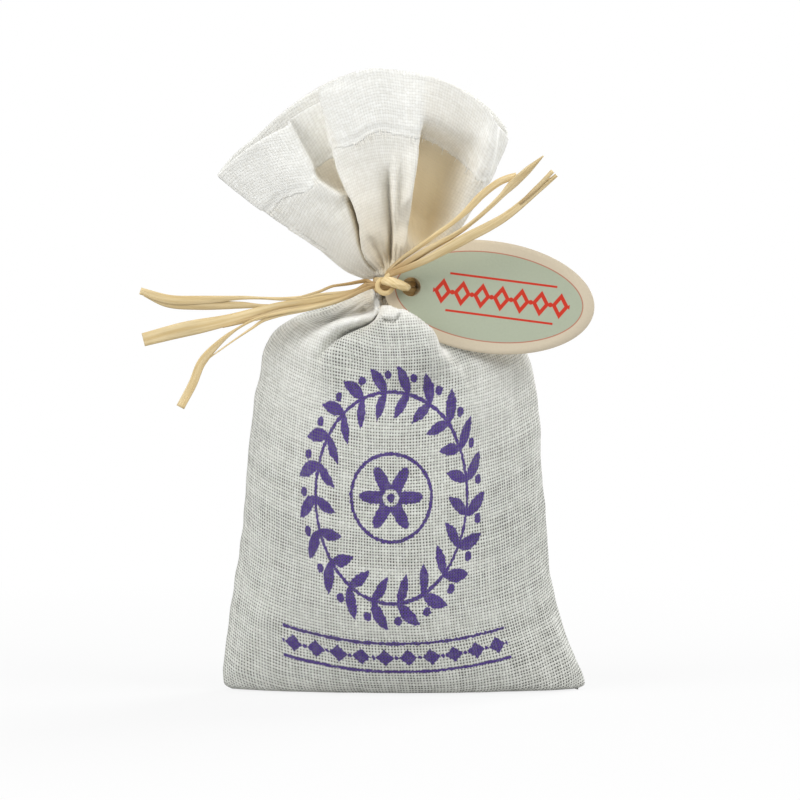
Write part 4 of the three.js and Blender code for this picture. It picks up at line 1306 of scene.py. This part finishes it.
def sculpt(pouch, flare, from_neck, above):
    """The bag's rows with gathers, folds, hollows and slack, and the painted shade of the hollows."""
    rows = np.concatenate([pouch, flare])
    split = len(pouch)
    out = normals(rows)
    drawn = (folds(pouch, POUCH_FOLDS), folds(flare, FLARE_FOLDS))
    push, slide = (np.concatenate(parts) for parts in zip(*drawn))
    inwards, hollow_shade = hollows(flare, FLARE_HOLLOWS)
    push[split:] += inwards
    level = unit(out * np.array((1.0, 1.0, 0.3)))
    near_neck = bell(from_neck, 15) * ~above * ~AT_BACK
    ahead = unit(level + (np.array((0.0, -1.0, 0.0)) - level) * near_neck[..., None])
    move = gathers(from_neck, above) + bulge(from_neck, above)
    rows = rows + level * move[..., None] + ahead * push[..., None]
    rows[..., 0] += slide[..., 0]
    rows[..., 2] += slide[..., 1] + puffs(from_neck, above)
    loose = (0.35 * field(rows, 26.0, 21) + 0.14 * field(rows, 9.0, 22)) * ramp(from_neck, 2, 12)
    rows = rows + out * loose[..., None]
    rows[..., 2] = np.maximum(rows[..., 2], LOWEST)
    keep = ramp(np.abs(np.arange(len(rows)) - (split - NECK_ROWS // 2 - 1)), 4, 9)[:, None, None]
    return rows + (soften(rows, 2) - rows) * keep, hollow_shade


def clear_tag(rows):
    """Keeps the cloth behind the tag, also where the tag turns."""
    long, wide, face = tag_axes()
    apart = rows - HOLE
    x, y = apart @ long, apart @ wide
    nearest = np.full(x.shape, np.inf)
    for turn in np.radians(np.linspace(0, TAG_TURNS, 9)):
        c, s = math.cos(turn), math.sin(turn)
        tx, ty = x * c + y * s, y * c - x * s
        oval = ((tx - HOLE_OFFSET) / (TAG_LONG / 2 + TAG_ROOM_LONG)) ** 2
        oval += (ty / (TAG_WIDE / 2 + TAG_ROOM_WIDE)) ** 2
        nearest = np.minimum(nearest, oval)
    ahead = np.maximum(apart @ face + TAG_THICK / 2 + TAG_ROOM, 0)
    over = ahead * (rows[..., 1] < 2) * ramp(1.6 - nearest, 0, 0.6)
    return rows - face * over[..., None]


def cloth_marks(pouch, from_neck, crest, hollow_shade):
    """How far the dark inside and its painted shade show between the threads, less where painted light lifts
    the gathers, the roll and the lip's crest, and how much painted warm shade the cloth gets.
    """
    split = len(pouch)
    low, high = from_neck[:split], from_neck[split:]
    roll, _ = folds(pouch, POUCH_FOLDS[:2])
    # Painted light: near the neck, on the shoulders, on the roll and on the lip's crest the cloth shows less
    # of the dark inside and looks lighter.
    gathered = 0.85 * bell(low, 12, 4)
    gathered += 0.35 * ramp(80 - low, 0, 55) * ramp(np.abs(pouch[..., 0] - NECK_X), 14, 28)
    shape = (split + FLARE_ROWS + len(HEM_TURN) + HEM_ROWS, len(AROUND))
    gap_shade_and_painted_light, painted_warm_shade = np.full(shape, BACKING_FLARE), np.zeros(shape)
    gap_shade_and_painted_light[:split] = 1 - np.clip(0.75 * roll / 5.5 + 0.9 * crest + gathered, 0, 0.88)
    gap_shade_and_painted_light[split + FLARE_ROWS + 1 - HEM_ROWS :] = BACKING_HEM
    # Painted warm shade on the pouch near the neck, less on the roll.
    painted_warm_shade[:split] = 0.45 * bell(low, 10) * (1 - np.clip(roll / 4, 0, 1))
    # Painted warm shade near the neck of the flare, stronger towards its right.
    warm = 0.3 + 0.5 * ramp(AROUND, 0.2, 0.4)
    painted_warm_shade[split : split + FLARE_ROWS] = np.clip(hollow_shade + warm * bell(high, 22, 1.5), 0, 1)
    # The hem takes some of the painted shade of the hollows it lies over.
    hem = np.linspace(0.2, 1, len(HEM_TURN) + HEM_ROWS)[:, None]
    painted_warm_shade[split + FLARE_ROWS :] = 0.35 * hollow_shade[-HEM_ROWS:].max(axis=0) * hem
    return soften(gap_shade_and_painted_light[..., None], 6)[..., 0], soften(painted_warm_shade[..., None], 5)[..., 0]


def sew_bottom(net):
    """Joins the front and the back along the fold under the bag."""
    net.verts.ensure_lookup_table()
    pairs = {net.verts[2 * FRONT_COLUMNS - j]: net.verts[j] for j in range(1, FRONT_COLUMNS)}
    bmesh.ops.weld_verts(net, targetmap=pairs)


def add_bag():
    """The cloth bag: folded at the bottom, full below, gathered at the neck and open above it."""
    pouch = pouch_rows()
    flare = flare_rows(pouch[-1])
    split = len(pouch)
    step = np.linalg.norm(np.diff(np.concatenate([pouch, flare]), axis=0), axis=2)
    up = np.concatenate([np.zeros((1, len(AROUND))), np.cumsum(step, axis=0)])
    above = np.arange(len(up))[:, None] >= split
    neck_low = split - NECK_ROWS
    from_neck = np.zeros_like(up)
    from_neck[:neck_low] = up[neck_low] - up[:neck_low]
    from_neck[split:] = up[split:] - up[split - 1]

    rows, hollow_shade = sculpt(pouch, flare, from_neck, above)
    rows = clear_tag(rows)
    outwards, upwards, shows, crest = lip(pouch)
    up[:split] += upwards
    rows[:split, :, 1] -= outwards
    rows[:split, :, 2] += upwards
    dent, _ = folds(rows[:split], LIP_FOLDS)
    rows[:split, :, 1] -= dent * shows
    rows = np.concatenate([rows, hem_rows(rows[split:])])
    step = np.linalg.norm(np.diff(rows[len(up) - 1 :], axis=0), axis=2)
    up = np.concatenate([up, up[-1:] + np.cumsum(step, axis=0)])

    middle = FRONT_COLUMNS // 2
    heights, run = rows[FOLD_ROWS:split, middle, 2], up[FOLD_ROWS:split, middle]
    wreath, band = np.interp((WREATH_HEIGHT, BAND_HEIGHT), heights, run)
    gap_shade_and_painted_light, painted_warm_shade = cloth_marks(pouch, from_neck, crest, hollow_shade)
    across = np.linspace(0, 2 * CLOTH_WIDTH, len(AROUND))
    places = both(across, up)
    shape = Shape()
    shape.grid(rows[:, :-1], places, gap_shade_and_painted_light[:, :-1], ends=False)
    piece = shape.build("cloth_bag_linen", cloth_material(float(wreath), float(band)), "Threads", "GapShadeAndPaintedLight")
    set_mark(piece.data, "PaintedWarmShade", painted_warm_shade[:, :-1])
    rework(piece, sew_bottom)
    body = piece.vertex_groups.new(name="body_of_cloth")
    count = len(piece.data.vertices)
    edge = count - RAW_ROWS * (len(AROUND) - 1)
    body.add(list(range(edge)), 1.0, "REPLACE")
    body.add(list(range(edge, count)), RAW_THICK, "REPLACE")
    thick = piece.modifiers.new("thickness", "SOLIDIFY")
    thick.thickness = CLOTH_THICK * MM
    thick.offset = -1
    thick.vertex_group = body.name
    finish_piece(piece, "bag", "cloth", "cloth_bag")
    return rows


def tube(shape, way, radius, sides):
    """Adds a thin round thread along a way."""
    steep = np.abs(headings(way)[:, 2:]) > 0.9
    helper = np.where(steep, np.array(((1.0, 0, 0),)), np.array(((0, 0, 1.0),)))
    full = np.linspace(0, TURN, sides + 1)
    places = both(lengths(way)[:, None], full)
    sweep(shape, way, helper, np.broadcast_to(radius, (sides, len(way))).T, places, 1.0)


def add_frays(rows, material):
    """Loose thread ends along the raw edge of the hem."""
    chance = np.random.default_rng(17)
    edge = rows[-1]
    down = unit(rows[-1] - rows[-4])
    shape = Shape()
    count = len(edge) - 1
    x, y = edge[:count, 0], edge[:count, 1]
    often = 1 + sum(more * ((y < 0) & (x > low) & (x < high)) for low, high, more in FRAY_SPOTS)
    for j in chance.choice(count, FRAYS, p=often / often.sum()):
        size = chance.uniform(*FRAY_LONG)
        drift = unit(chance.normal(size=3)) * size * 0.35
        face = np.array((0, -1.0 if j <= FRONT_COLUMNS else 1.0, 0))
        start = edge[j] - down[j] * 0.8
        middle = start + down[j] * (0.8 + size * 0.5) + drift * 0.4 + face * 0.3
        end = start + down[j] * (0.8 + size) + drift + face * 0.5
        way = curve((start, middle, end), FRAY_POINTS)
        tube(shape, way, np.linspace(*FRAY_RADIUS, FRAY_POINTS), 6)
    finish_piece(shape.build("frayed_hem", material), "bag", "cloth")


def add_seams(material):
    """Running stitches inside each side seam."""
    heights = np.linspace(SEAM_LOW, SEAM_HIGH, SEAM_POINTS)
    wave = np.sin(heights * TURN / STITCH)
    for side, edge, inwards in (("left", LEFT_EDGE, SEAM_INSET), ("right", RIGHT_EDGE, -SEAM_INSET)):
        name = side + "_seam_thread"
        shape = Shape()
        tube(shape, np.column_stack([read(edge, heights) + inwards, 0.25 * wave, heights]), SEAM_RADIUS, 8)
        finish_piece(shape.build(name + "_stitches", material), "bag", "thread", name)


def add_filling(material):
    """The heap of dried buds inside, lumpy on its surface."""
    levels = [(z, 1.0) for z in np.linspace(FILL_LOW, FILL_HIGH, FILL_ROWS)]
    crown = np.linspace(0.1, 1.5, FILL_CROWN_ROWS)
    levels += [(FILL_HIGH + FILL_CROWN * math.sin(a), math.cos(a)) for a in crown]
    rows = []
    for z, keep in levels:
        tables = (LEFT_EDGE, RIGHT_EDGE, FRONT_DEPTH, BACK_DEPTH)
        left, right, front, back = (float(read(table, z)) for table in tables)
        middle, half = (left + right) / 2, ((right - left) / 2 - FILL_INSET) * keep
        under = (0.55 + 0.45 * min(1, (z - FILL_LOW) / 5)) * keep
        trim = 2.2 + 3.0 * float(ramp(z, 70, FILL_HIGH))
        depths = (front - trim) * under, (back - trim) * under
        rows.append(ring(middle - half, middle + half, *depths, 0.7, np.linspace(0, 1, 71), z)[:-1])
    rows = np.array(rows)
    lump = 0.45 * field(rows, 5.0, 41) + 0.3 * field(rows, 2.6, 42) - 0.7
    rows = rows + unit(rows - rows.mean(axis=1, keepdims=True)) * lump[..., None]
    run = np.linspace(0, 200, rows.shape[1] + 1)
    shape = Shape()
    shape.grid(rows, both(run, rows[:, :1, 2]), 1.0)
    piece = shape.build("lavender_buds", material, "Grain")
    finish_piece(piece, "bag", "dried_buds", "lavender_filling")


add_stage()
straw = raffia_material()
thread = thread_material()
ends = add_tails(straw)
bag = add_bag()
add_wraps(straw)
add_knot(straw, ends)
add_loop(straw)
add_tag(card_material())
add_frays(bag, thread)
add_seams(thread)
add_filling(buds_material())
